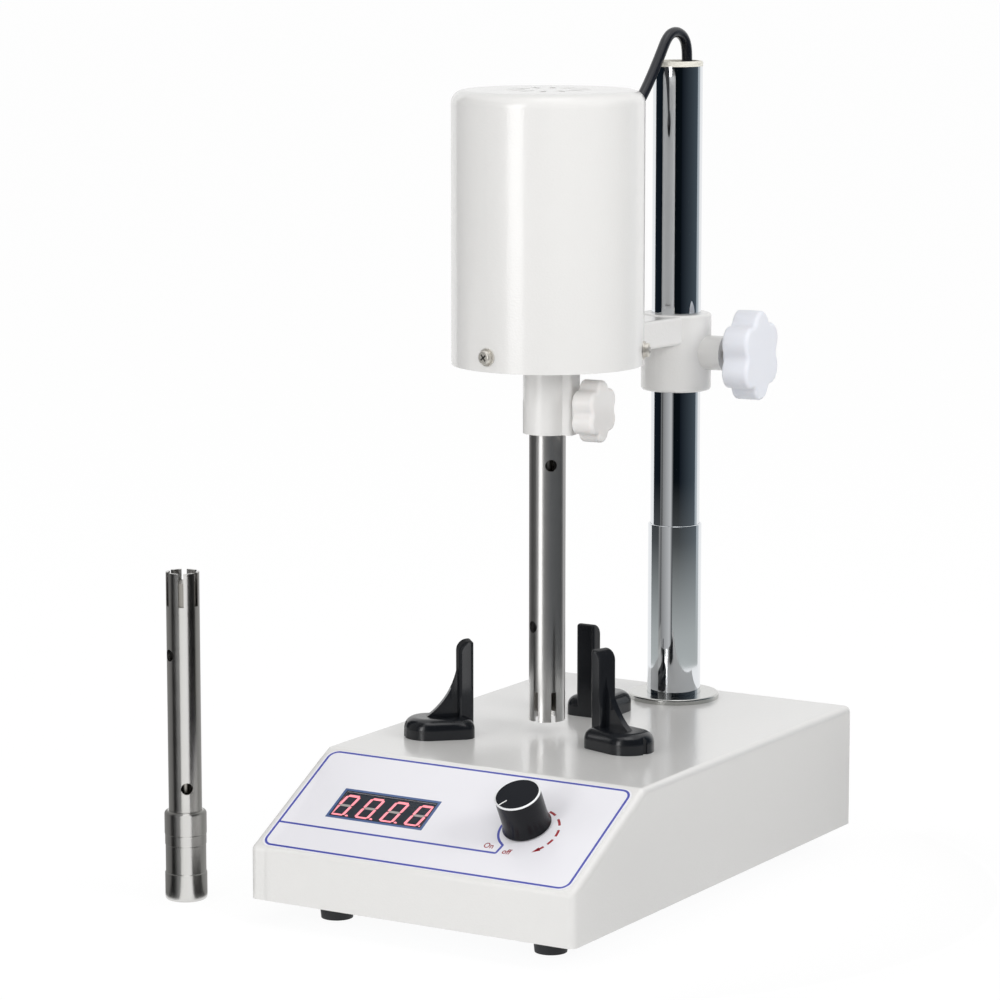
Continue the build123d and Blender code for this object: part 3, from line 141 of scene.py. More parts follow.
def mottled(name, colour, grain_mm, depth_mm, roughness, spread=0.04, vary=0.02,
            cloud_mm=18.0, metallic=0.0, stretch=(1, 1, 1), detail=2.0, **sockets):
    """A surface whose colour and gloss drift slowly, with a fine relief of a real size.

    The relief repeats about every grain_mm and is depth_mm deep; stretch draws it out.
    """
    made, tree, shader = new_material(name, roughness, metallic, **sockets)
    place = add_node(tree, "ShaderNodeTexCoord").outputs["Object"]
    cloud = add_node(tree, "ShaderNodeTexNoise",
                     {"Vector": place, "Scale": 1 / (cloud_mm * MM), "Detail": 3.0})
    tint = add_node(tree, "ShaderNodeMix",
                    {0: cloud.outputs["Fac"], 6: shaded(colour, 1 - vary),
                     7: shaded(colour, 1 + vary)}, data_type="RGBA")
    tree.links.new(tint.outputs[2], shader.inputs["Base Color"])
    gloss = add_node(tree, "ShaderNodeMapRange",
                     {"Value": cloud.outputs["Fac"], "To Min": max(roughness - spread, 0.02),
                      "To Max": roughness + spread})
    tree.links.new(gloss.outputs["Result"], shader.inputs["Roughness"])
    drawn = add_node(tree, "ShaderNodeMapping", {"Vector": place, "Scale": stretch})
    grain = add_node(tree, "ShaderNodeTexNoise",
                     {"Vector": drawn.outputs["Vector"], "Scale": 1 / (grain_mm * MM),
                      "Detail": detail})
    relief = add_node(tree, "ShaderNodeBump",
                      {"Height": grain.outputs["Fac"], "Strength": 1.0,
                       "Distance": depth_mm * MM})
    tree.links.new(relief.outputs["Normal"], shader.inputs["Normal"])
    tree.links.new(relief.outputs["Normal"], shader.inputs["Coat Normal"])
    return made


def striped(made, pitch_mm, depth_mm, axis="Z", colours=None):
    """Add evenly spaced ridges along one axis to a material made by mottled."""
    tree = made.node_tree
    shader = tree.nodes["Principled BSDF"]
    place = add_node(tree, "ShaderNodeTexCoord").outputs["Object"]
    # A wave repeats every pi / 10 units at scale 1.
    wave = add_node(tree, "ShaderNodeTexWave",
                    {"Vector": place, "Scale": pi / 10 / (pitch_mm * MM)},
                    bands_direction=axis)
    before = shader.inputs["Normal"].links[0].from_socket
    ridge = add_node(tree, "ShaderNodeBump",
                     {"Height": wave.outputs["Fac"], "Strength": 1.0,
                      "Distance": depth_mm * MM, "Normal": before})
    tree.links.new(ridge.outputs["Normal"], shader.inputs["Normal"])
    if colours:
        dark, light = colours
        tint = add_node(tree, "ShaderNodeMix", {0: wave.outputs["Fac"], 6: dark, 7: light},
                        data_type="RGBA")
        tree.links.new(tint.outputs[2], shader.inputs["Base Color"])
    return made


def powder_coat(name, colour, peel_mm, depth_mm=0.05):
    """Polyester powder coat baked on steel: a semi-gloss skin with soft orange peel."""
    return mottled(name, colour, peel_mm, depth_mm, 0.32, spread=0.03, vary=0.012,
                   cloud_mm=60, detail=0.5, IOR=1.5, Coat_Weight=0.6, Coat_Roughness=0.07)


def finish(material, *names):
    """Give CAD nodes their material."""
    for name in names:
        NODES[name].data.materials.clear()
        NODES[name].data.materials.append(material)


def seen_by(tree, *kinds):
    """A value that is 1 for the named kinds of ray and 0 for the rest."""
    rays = add_node(tree, "ShaderNodeLightPath")
    seen = rays.outputs[kinds[0]]
    for kind in kinds[1:]:
        seen = add_node(tree, "ShaderNodeMath", {0: seen, 1: rays.outputs[kind]},
                        operation="MAXIMUM").outputs[0]
    return seen


# ---------------------------------------------------------------- pieces
def add_object(bm, name, material):
    """Turn a bmesh into an object of the scene."""
    mesh = bpy.data.meshes.new(name)
    bm.to_mesh(mesh)
    bm.free()
    mesh.materials.append(material)
    made = bpy.data.objects.new(name, mesh)
    bpy.context.scene.collection.objects.link(made)
    return made


def add_piece(bm, name, body, material, place=None):
    """Turn a bmesh into a finished piece that rides on a body."""
    if place is not None:
        bm.transform(place)
    piece = add_object(bm, name, material)
    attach(piece, body)
    return piece


PANEL_SLOPE = radians(28.383)
PANEL = Matrix.Translation((0, -0.132, 0.0345)) @ Matrix.Rotation(PANEL_SLOPE, 4, "X")
# Heights above the panel's steel.
FILM_TOP = 0.3 * MM
LED_FACE = -0.2 * MM
BAR_THICKNESS = 0.04 * MM
# Middles of the display and the dial on the panel, in millimetres across and up.
DISPLAY = (-32, 34.8)
DIAL = (40.4, 37.2)


def on_panel(x_mm, up_mm, above):
    """Matrix of a spot on the sloping panel: across, up the slope, and above the steel."""
    return PANEL @ Matrix.Translation((x_mm * MM, up_mm * MM, above))


class Pen:
    """Draws a flat line of even width by moving and turning one short edge."""

    def __init__(self, bm, start, heading, width):
        self.bm, self.heading = bm, heading
        across = Vector((-sin(heading), cos(heading), 0)) * (width / 2)
        at = Vector((*start, 0))
        self.edge = bm.edges.new((bm.verts.new(at - across), bm.verts.new(at + across)))

    def middle(self):
        return (self.edge.verts[0].co + self.edge.verts[1].co) / 2

    def go(self, length):
        made = bmesh.ops.extrude_edge_only(self.bm, edges=[self.edge])["geom"]
        self.edge = next(g for g in made if isinstance(g, bmesh.types.BMEdge))
        way = Vector((cos(self.heading), sin(self.heading), 0))
        bmesh.ops.translate(self.bm, vec=way * length, verts=self.edge.verts[:])
        return self

    def turn(self, radius, angle, steps=8):
        side = 1 if angle > 0 else -1
        centre = self.middle() + Vector((-sin(self.heading), cos(self.heading), 0)) * (
            side * radius)
        made = bmesh.ops.spin(self.bm, geom=[self.edge, *self.edge.verts], cent=centre,
                              axis=(0, 0, 1), angle=radians(angle), steps=steps,
                              use_duplicate=False)["geom_last"]
        self.edge = next(g for g in made if isinstance(g, bmesh.types.BMEdge))
        self.heading += radians(angle)
        return self


def rectangle(width, depth):
    """A bmesh with one flat rectangle about the origin."""
    bm = bmesh.new()
    made = bmesh.ops.create_grid(bm, x_segments=1, y_segments=1, size=0.5)["verts"]
    bmesh.ops.scale(bm, vec=(width, depth, 1), verts=made)
    return bm


def face_up(bm):
    """Merge the doubles of an open shape and turn its faces upward."""
    bmesh.ops.remove_doubles(bm, verts=bm.verts[:], dist=1e-6)
    bmesh.ops.recalc_face_normals(bm, faces=bm.faces[:])
    if sum(f.normal.z for f in bm.faces) < 0:
        bmesh.ops.reverse_faces(bm, faces=bm.faces[:])


def thicken(bm, thickness):
    """Give flat faces a thickness upward, merged and facing out."""
    face_up(bm)
    made = bmesh.ops.extrude_face_region(bm, geom=bm.faces[:])["geom"]
    bmesh.ops.translate(bm, vec=(0, 0, thickness),
                        verts=[g for g in made if isinstance(g, bmesh.types.BMVert)])
    bmesh.ops.recalc_face_normals(bm, faces=bm.faces[:])


def drawn_mesh(holder):
    """The mesh that a text or curve object draws."""
    bpy.context.view_layer.update()
    return bpy.data.meshes.new_from_object(
        holder.evaluated_get(bpy.context.evaluated_depsgraph_get()))


def lettering(words, size, place, name, body, material, thickness):
    """Plain raised lettering, turned to a mesh before it is placed."""
    curve = bpy.data.curves.new(name, "FONT")
    curve.body, curve.size = words, size
    curve.align_x, curve.align_y = "CENTER", "CENTER"
    curve.resolution_u = 3
    curve.offset = 0.018 * size
    holder = bpy.data.objects.new(name, curve)
    bpy.context.scene.collection.objects.link(holder)
    flat = drawn_mesh(holder)
    bpy.data.objects.remove(holder)
    bm = bmesh.new()
    bm.from_mesh(flat)
    bpy.data.meshes.remove(flat)
    bmesh.ops.scale(bm, vec=(0.84, 1, 1), verts=bm.verts[:])
    thicken(bm, thickness)
    return add_piece(bm, name, body, material, place)


class BuildStep:
    """Shared settings of the operators: they add or finish one group of pieces."""

    bl_options = {"REGISTER", "UNDO"}

    def execute(self, context):
        self.build(context.scene.homogenizer_sizes, context.scene.homogenizer_colours)
        return {"FINISHED"}


class HOMOGENIZER_OT_painted_parts(BuildStep, bpy.types.Operator):
    """Powder coat on the base, the head casting and the motor housing"""

    bl_idname = "homogenizer.painted_parts"
    bl_label = "Painted parts"

    def build(self, sizes, colours):
        peel = sizes.orange_peel / MM
        finish(powder_coat("powder_coat_steel", colours.paint, peel), "base_shell",
               "motor_housing")
        # The rough skin of the casting shows through its paint as a coarser peel.
        finish(powder_coat("powder_coat_casting", colours.paint, 1.3 * peel, 0.07),
               "head_casting")


class HOMOGENIZER_OT_panel_print(BuildStep, bpy.types.Operator):
    """Panel film with its blue outline and divider, display border and dial arrow"""

    bl_idname = "homogenizer.panel_print"
    bl_label = "Panel print"

    def build(self, sizes, colours):
        # Polyester film, printed on the back and lightly textured on the front.
        finish(mottled("polyester_film", colours.film, 0.5, 0.002, 0.34, vary=0.006,
                       cloud_mm=70, IOR=1.58), "panel_label")
        blue, border, red, black = (
            mottled(f"{name}_ink", colour, 0.25, 0.001, 0.4, vary=0.05, cloud_mm=6)
            for name, colour in (("blue", colours.blue_ink), ("border", colours.frame_ink),
                                 ("red", colours.red_ink), ("black", linear("#23252B"))))
        above = FILM_TOP - sizes.ink_thickness / 2
        flat = on_panel(0, 0, above)
        width = sizes.line_width

        bm = bmesh.new()
        corner, left, right, low, high = 4.4 * MM, -77.3 * MM, 77.3 * MM, 2.9 * MM, 67.2 * MM
        pen = Pen(bm, (left + corner, low), 0.0, width)
        for run in (right - left, high - low, right - left, high - low):
            pen.go(run - 2 * corner).turn(corner, 90)
        bmesh.ops.remove_doubles(bm, verts=bm.verts[:], dist=2e-6)
        divider = Pen(bm, (left + width / 2, 17.9 * MM), 0.0, width)
        divider.go(33.6 * MM - left).turn(0.6 * MM, 82, 3).go(4.6 * MM)
        divider.turn(0.6 * MM, 62, 3).go(1.2 * MM).turn(13.2 * MM, -86, 14)
        thicken(bm, sizes.ink_thickness)
        add_piece(bm, "panel_outline", "stand", blue, flat)

        for name, size, rim, ink in (("display_border", (50.2, 19.6), 1.3, border),
                                     ("display_rim", (47.6, 17.0), 0.7, black)):
            bm = rectangle(size[0] * MM, size[1] * MM)
            bmesh.ops.inset_region(bm, faces=bm.faces[:], thickness=rim * MM,
                                   use_boundary=True, use_even_offset=True)
            middle = min(bm.faces, key=lambda f: f.calc_center_median().length)
            bmesh.ops.delete(bm, geom=[middle], context="FACES")
            thicken(bm, sizes.ink_thickness)
            add_piece(bm, name, "stand", ink, on_panel(*DISPLAY, above))

        bm = bmesh.new()
        reach = 14.9 * MM
        for start, sweep in ((71.8, 15.9), (43.6, 17.6), (14.5, 16.0), (-9.7, 13.6)):
            at = radians(start)
            Pen(bm, (reach * cos(at), reach * sin(at)), at - pi / 2,
                sizes.arrow_width).turn(reach, -sweep, 5)
        at = radians(-30.8)
        tip = Pen(bm, (reach * cos(at), reach * sin(at)), at - pi / 2, sizes.arrow_width)
        tip.turn(reach, -13, 4)
        head = bmesh.ops.create_circle(bm, cap_ends=True, segments=3, radius=2.0 * MM)["verts"]
        bmesh.ops.scale(bm, vec=(0.72, 1.3, 1), verts=head)
        bmesh.ops.rotate(bm, verts=head, matrix=Matrix.Rotation(tip.heading - pi / 2, 3, "Z"))
        bmesh.ops.translate(bm, verts=head, vec=tip.middle())
        thicken(bm, sizes.ink_thickness)
        add_piece(bm, "dial_arrow", "stand", red, on_panel(41.6, 33.6, above))

        for words, x, up in (("On", 29.3, 21.7), ("off", 39.2, 19.6)):
            lettering(words, 4.5 * MM, on_panel(x, up, above), f"switch_mark_{words.lower()}",
                      "stand", red, sizes.ink_thickness)


class HOMOGENIZER_OT_display(BuildStep, bpy.types.Operator):
    """Four-figure display with lit outer bars and a dark middle bar, behind its window"""

    bl_idname = "homogenizer.display"
    bl_label = "Display"

    def build(self, sizes, colours):
        # Black epoxy block with fine moulding grain, behind a clear acrylic window.
        finish(mottled("epoxy_block", linear("#16202A"), 0.4, 0.01, 0.5), "led_module")
        # The low IOR keeps the window from veiling the figures with its own reflection.
        glass, _, shader = new_material("clear_acrylic", 0.03, IOR=1.12,
                                        Transmission_Weight=1.0)
        shader.inputs["Base Color"].default_value = linear("#D9DDE2")
        finish(glass, "display_window")
        # The block's smoked face lies close under the window.
        smoked = mottled("smoked_face", linear("#1A242F"), 0.4, 0.004, 0.4)
        bm = rectangle(47.2 * MM, 16.6 * MM)
        thicken(bm, BAR_THICKNESS)
        add_piece(bm, "display_face", "stand", smoked,
                  on_panel(*DISPLAY, LED_FACE - 0.06 * MM))
        lit = mottled("lit_bar", colours.lit_segment, 0.4, 0.004, 0.35,
                      Emission_Color=colours.lit_segment, Emission_Strength=0.85)
        dark = mottled("dark_bar", colours.dark_segment, 0.4, 0.004, 0.35)
        tall, wide, bar = sizes.digit_height, sizes.digit_width, sizes.segment_width
        lean = Matrix.Identity(4)
        lean[0][1] = 0.16
        half = tall / 2 - bar / 2
        side = wide / 2 - bar / 2
        upright = [(x, y * half / 2, pi / 2, half - bar * 0.3)
                   for x in (-side, side) for y in (-1, 1)]
        level = [(0, y * half, 0.0, 2 * side - bar * 0.3) for y in (-1, 1)]
        for name, bars, dots, material in (
                ("display_lit_bars", upright + level, True, lit),
                ("display_dark_bars", [(0, 0, 0.0, 2 * side - bar * 0.2)], False, dark)):
            bm = bmesh.new()
            for figure in range(4):
                across = (figure - 1.5) * sizes.digit_pitch
                for x, y, turn, run in bars:
                    made = bmesh.ops.create_circle(bm, cap_ends=True, segments=6,
                                                   radius=bar / 2)["verts"]
                    bmesh.ops.rotate(bm, verts=made, matrix=Matrix.Rotation(pi / 2, 3, "Z"))
                    bmesh.ops.scale(bm, vec=(1, 1.1547, 1), verts=made)
                    for v in made:
                        v.co.x += (run - bar) / 2 * (1 if v.co.x > 0 else -1)
                    bmesh.ops.rotate(bm, verts=made, matrix=Matrix.Rotation(turn, 3, "Z"))
                    bmesh.ops.translate(bm, verts=made, vec=(x, y, 0))
                    bmesh.ops.transform(bm, matrix=lean, verts=made)
                    bmesh.ops.translate(bm, verts=made, vec=(across, 0, 0))
                if dots:
                    made = bmesh.ops.create_circle(bm, cap_ends=True, segments=16,
                                                   radius=0.75 * MM)["verts"]
                    bmesh.ops.translate(bm, verts=made,
                                        vec=(across + wide / 2 + 0.3 * MM, -half, 0))
            thicken(bm, BAR_THICKNESS)
            add_piece(bm, name, "stand", material,
                      on_panel(-32.4, 34.1, LED_FACE))


class HOMOGENIZER_OT_dial(BuildStep, bpy.types.Operator):
    """Black dial with a bright cut bevel, a spun face and a white pointer"""

    bl_idname = "homogenizer.dial"
    bl_label = "Speed dial"

    def build(self, sizes, colours):
        # Glossy black ABS body over a knurled brass shaft.
        finish(mottled("black_abs_dial", linear("#07090F"), 0.8, 0.002, 0.24, IOR=1.36),
               "speed_dial")
        top, rim = 18.1 * MM, 10.2 * MM
        # The bevel's cut edge is turned between the face and the body.
        # Its near-white colour, only partly metallic, is partly the bright cut metal and
        # partly a painted highlight that shows all round the rim.
        bright = mottled("cut_aluminium_and_highlight", linear("#FBFCFE"), 0.3, 0.002, 0.34, metallic=0.4)
        bm = bmesh.new()
        line = [bm.verts.new((rim + out * MM, 0, up * MM)) for out, up in (
            (-0.7, -0.1), (-0.62, 0.06), (0.06, -0.1), (0.12, -0.42), (-0.1, -0.5))]
        edges = [bm.edges.new(pair) for pair in zip(line, line[1:])]
        bmesh.ops.spin(bm, geom=line + edges, cent=(0, 0, 0), axis=(0, 0, 1), angle=2 * pi,
                       steps=72, use_merge=True, use_duplicate=False)
        face_up(bm)
        add_piece(bm, "dial_bevel", "speed_control", bright,
                  on_panel(*DIAL, top))

        # The face is anodised and spun, so fine rings run round its middle.
        spun = mottled("spun_anodised_face", linear("#090D16"), 0.3, 0.001, 0.3, IOR=1.36,
                       Specular_IOR_Level=0.2)
        tree = spun.node_tree
        place = add_node(tree, "ShaderNodeTexCoord").outputs["Object"]
        centre = on_panel(*DIAL, top)
        turned = add_node(tree, "ShaderNodeMapping",
                          {"Vector": place, "Location": centre.translation,
                           "Rotation": centre.to_euler()}, vector_type="TEXTURE")
        rings = add_node(tree, "ShaderNodeTexWave",
                         {"Vector": turned.outputs["Vector"], "Scale": pi / 10 / (0.5 * MM)},
                         wave_type="RINGS", rings_direction="Z")
        cut = add_node(tree, "ShaderNodeBump", {"Height": rings.outputs["Fac"],
                                                "Strength": 1.0, "Distance": 0.004 * MM})
        tree.links.new(cut.outputs["Normal"],
                       tree.nodes["Principled BSDF"].inputs["Normal"])
        bm = bmesh.new()
        bmesh.ops.create_circle(bm, cap_ends=True, segments=72, radius=rim - 0.68 * MM)
        thicken(bm, 0.03 * MM)
        add_piece(bm, "dial_face", "speed_control", spun,
                  on_panel(*DIAL, top - 0.01 * MM))

        white = mottled("pointer_paint", linear("#F4F4F2"), 0.4, 0.003, 0.4)
        bm = bmesh.new()
        made = bmesh.ops.create_cube(bm, size=1.0)["verts"]
        bmesh.ops.scale(bm, vec=(4.1 * MM, 0.65 * MM, 0.1 * MM), verts=made)
        bmesh.ops.bevel(bm, geom=bm.edges[:], offset=0.03 * MM, segments=1, profile=0.5,
                        affect="EDGES", material=-1)
        bmesh.ops.translate(bm, verts=bm.verts[:], vec=(rim - 2.7 * MM, 0, 0))
        bmesh.ops.rotate(bm, verts=bm.verts[:],
                         matrix=Matrix.Rotation(radians(-121), 3, "Z"))
        add_piece(bm, "dial_pointer", "speed_control", white,
                  on_panel(*DIAL, top))


class HOMOGENIZER_OT_column(BuildStep, bpy.types.Operator):
    """Chromed column with its flange, sleeve and cap"""

    bl_idname = "homogenizer.column"
    bl_label = "Column"

    def build(self, sizes, colours):
        # Bright chrome plate over drawn tube: a mirror with a breath of draw marks.
        finish(mottled("bright_chrome_plate", linear("#E2E5E8"), 2.5, 0.0016, 0.05,
                       spread=0.02, vary=0.02, cloud_mm=30, metallic=1.0,
                       stretch=(1, 1, 0.05)), "column_post", "column_sleeve")
        # The flange is turned and satin plated, softer than the tubes.
        finish(mottled("satin_chrome_flange", linear("#C9C9C6"), 0.5, 0.004, 0.22,
                       metallic=1.0), "column_flange")
        finish(mottled("ivory_abs_cap", linear("#E8E5DA"), 0.8, 0.006, 0.4), "column_cap")


class HOMOGENIZER_OT_lead(BuildStep, bpy.types.Operator):
    """Motor lead from the terminal in the base, up the column and over to the housing"""

    bl_idname = "homogenizer.lead"
    bl_label = "Motor lead"

    def build(self, sizes, colours):
        # Soft PVC jacket with a low sheen.
        jacket = mottled("pvc_jacket", colours.lead, 1.2, 0.006, 0.3, spread=0.05,
                         Coat_Weight=0.2, Coat_Roughness=0.15)
        way = radians(HEAD_AZIMUTH)
        # Distance from the column axis towards the tool, and height, in millimetres.
        route = [(0.0, 32.0), (0.0, 88.0), (-1.5, 146.0), (-4.2, 204.0), (-6.4, 260.0),
                 (-7.15, 312.0), (-6.8, 346.0), (-7.1, 366.5), (-7.0, 378.2), (-3.3, 383.2),
                 (2.6, 385.0), (8.5, 382.9), (14.2, 374.2), (20.6, 365.0), (27.4, 356.4),
                 (35.6, 348.0), (46.0, 340.0), (62.65, 340.0)]
        points = [Vector((out * MM * cos(way), COLUMN_Y + out * MM * sin(way), high * MM))
                  for out, high in route]
        curve = bpy.data.curves.new("motor_lead_line", "CURVE")
        curve.dimensions = "3D"
        curve.resolution_u = 8
        spline = curve.splines.new("NURBS")
        spline.points.add(len(points) - 1)
        for spot, place in zip(spline.points, points):
            spot.co = (*place, 1.0)
        spline.order_u = 3
        spline.use_endpoint_u = True
        holder = bpy.data.objects.new("motor_lead_line", curve)
        bpy.context.scene.collection.objects.link(holder)
        line = drawn_mesh(holder)
        bpy.data.meshes.remove(line)
        curve.bevel_depth = sizes.lead_diameter / 2
        curve.bevel_resolution = 6
        curve.use_fill_caps = True
        tube = drawn_mesh(holder)
        bpy.data.objects.remove(holder)
        tube.name = "motor_lead_cord"
        tube.materials.clear()
        tube.materials.append(jacket)
        for face in tube.polygons:
            face.use_smooth = True
        lead = bpy.data.objects.new("motor_lead_cord", tube)
        bpy.context.scene.collection.objects.link(lead)
        # Between the column's mouth and the grommet the lead passes from body to body.
        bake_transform(lead)
        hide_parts("motor_lead")


class HOMOGENIZER_OT_knobs(BuildStep, bpy.types.Operator):
    """Milky nylon star knobs on plated studs"""

    bl_idname = "homogenizer.knobs"
    bl_label = "Clamp knobs"

    def build(self, sizes, colours):
        # Moulded nylon lets a little light in, so its lobes look soft.
        for name, colour in (("height_knob", colours.big_knob),
                             ("tool_knob", colours.small_knob)):
            nylon = mottled(f"nylon_{name}", colour, 1.0, 0.008, 0.36, vary=0.015,
                            IOR=1.53, Subsurface_Weight=0.35,
                            Subsurface_Radius=(1.0, 0.9, 0.85), Subsurface_Scale=0.003)
            finish(nylon, name)
        finish(mottled("nickel_stud", linear("#D2CEC6"), 0.4, 0.004, 0.38, metallic=1.0,
                       stretch=(0.1, 0.1, 1)), "height_knob_stud", "tool_knob_stud")
        # Barrel plated nickel screw heads, slightly hazy. Their pale colour, partly diffuse,
        # is a painted highlight that keeps the small heads bright.
        finish(mottled("nickel_screw_and_painted_highlight", linear("#E4E0D8"), 0.4, 0.006, 0.42,
                       metallic=0.75), "housing_screws", "inlet_screws")
        # Thin dark crosses on the housing screw heads are painted shade, standing for the
        # shade inside their cross recesses.
        cross_shade = mottled("cross_painted_shade", linear("#2B2824"), 0.3, 0.006, 0.6)
        bm = bmesh.new()
        for step in (0, 120, 240):
            turn = Matrix.Rotation(radians(HEAD_AZIMUTH + step), 4, "Z")
            way = turn @ Vector((1, 0, 0))
            reach = max((v.co - TOOL_AXIS).dot(way)
                        for v in NODES["housing_screws"].data.vertices)
            # Two flat bars make the cross, in millimetres.
            for size in ((0.05, 3.6, 0.75), (0.05, 0.75, 3.6)):
                made = bmesh.ops.create_cube(bm, size=1.0)["verts"]
                bmesh.ops.scale(bm, vec=Vector(size) * MM, verts=made)
                bmesh.ops.rotate(bm, verts=made, matrix=Matrix.Rotation(radians(40), 3, "X"))
                bmesh.ops.translate(bm, verts=made, vec=(reach, 0, HOUSING_SCREW_LEVEL))
                bmesh.ops.transform(bm, verts=made,
                                    matrix=Matrix.Translation(TOOL_AXIS) @ turn)
        add_piece(bm, "painted_shade_crosses", "head", cross_shade)


class HOMOGENIZER_OT_claws(BuildStep, bpy.types.Operator):
    """Moulded black vessel claws"""

    bl_idname = "homogenizer.claws"
    bl_label = "Vessel claws"

    def build(self, sizes, colours):
        # Glossy ABS straight from the mould, with faint flow marks.
        finish(mottled("black_abs_claw", colours.claw, 3.0, 0.01, 0.22, spread=0.05,
                       vary=0.08, IOR=1.53), "claw_right", "claw_rear", "claw_left")


class HOMOGENIZER_OT_working_heads(BuildStep, bpy.types.Operator):
    """Turned stainless working heads with their bushes, shafts and rotors"""

    bl_idname = "homogenizer.working_heads"
    bl_label = "Working heads"

    def build(self, sizes, colours):
        # Stainless turned on a lathe: grooves a tenth of a millimetre apart run round it.
        # They are drawn about four times coarser so that they show.
        steel = mottled("turned_stainless", linear("#D5D4D2"), 0.45, 0.006, 0.3,
                        spread=0.05, vary=0.05, cloud_mm=9, metallic=1.0,
                        stretch=(0.03, 0.03, 1), detail=4.0, Anisotropic=0.7,
                        Anisotropic_Rotation=0.25)
        tree = steel.node_tree
        around = add_node(tree, "ShaderNodeTangent", direction_type="RADIAL", axis="Z")
        tree.links.new(around.outputs[0], tree.nodes["Principled BSDF"].inputs["Tangent"])
        finish(steel, "stator_tube", "spare_stator_tube")
        finish(mottled("milled_stainless", linear("#9C9994"), 0.3, 0.004, 0.3, vary=0.06,
                       cloud_mm=5, metallic=1.0), "rotor_shaft", "rotor_blades",
               "spare_rotor_shaft", "spare_rotor_blades")
        finish(mottled("turned_ptfe", linear("#EBEAE4"), 0.3, 0.006, 0.5, IOR=1.38,
                       stretch=(0.05, 0.05, 1)), "shaft_bushes", "spare_shaft_bushes")


class HOMOGENIZER_OT_motor(BuildStep, bpy.types.Operator):
    """Motor inside the housing"""

    bl_idname = "homogenizer.motor"
    bl_label = "Motor"

    def build(self, sizes, colours):
        # Punched silicon steel sheets, half a millimetre each.
        finish(striped(mottled("stacked_laminations", linear("#6E7175"), 0.6, 0.01, 0.45,
                               metallic=1.0), 0.5, 0.06), "field_core", "armature_core")
        # Enamelled copper wire, 0.6 mm across, wound tight.
        finish(striped(mottled("enamelled_copper", linear("#A6552A"), 0.6, 0.01, 0.3,
                               metallic=1.0), 0.6, 0.15), "field_coils", "armature_windings")
        finish(mottled("commutator_copper", linear("#C58358"), 0.3, 0.004, 0.3, metallic=1.0,
                       stretch=(0.05, 0.05, 1)), "commutator")
        finish(mottled("die_cast_aluminium", linear("#A9ABAD"), 0.7, 0.02, 0.42,
                       metallic=1.0), "motor_bracket")
        finish(mottled("zinc_plated_steel", linear("#B3B8BE"), 0.6, 0.006, 0.32, vary=0.05,
                       cloud_mm=6, metallic=1.0), "motor_bolts", "foot_screws",
               "base_plate", "column_lock_nut", "potentiometer", "pot_nut",
               "claw_right_screw", "claw_rear_screw", "claw_left_screw")
        finish(mottled("ground_steel", linear("#BDBDBB"), 0.3, 0.003, 0.2, metallic=1.0,
                       stretch=(0.05, 0.05, 1)), "motor_shaft", "lower_bearing",
               "upper_bearing")
        finish(mottled("pressed_carbon", linear("#26272A"), 0.2, 0.01, 0.7), "carbon_brushes")
        finish(mottled("plain_brass", linear("#C2A25B"), 0.5, 0.005, 0.3, vary=0.05,
                       metallic=1.0), "brush_holders", "dial_shaft", "inlet_pins",
               "board_standoffs")
        finish(mottled("black_nylon", linear("#17181B"), 0.8, 0.01, 0.42), "cooling_fan",
               "drive_coupling")
        finish(mottled("cream_terminal", linear("#DDD8C8"), 0.8, 0.008, 0.42),
               "motor_terminal", "lead_terminal")


class HOMOGENIZER_OT_base_parts(BuildStep, bpy.types.Operator):
    """Feet, grommet, rear inlet and circuit board"""

    bl_idname = "homogenizer.base_parts"
    bl_label = "Base parts"

    def build(self, sizes, colours):
        # Moulded rubber, dull and slightly grainy.
        finish(mottled("moulded_rubber", linear("#1B1D20"), 0.6, 0.02, 0.62), "rubber_feet",
               "lead_grommet")
        finish(mottled("black_thermoplastic_inlet", linear("#131417"), 0.9, 0.012, 0.38),
               "mains_inlet")
        # Glass-fibre board under green solder mask; the weave shows as a fine grid.
        board = striped(mottled("solder_mask_board", linear("#1F5E36"), 0.5, 0.005, 0.35),
                        0.6, 0.01, "X", (linear("#1B5430"), linear("#24683D")))
        finish(board, "control_board")


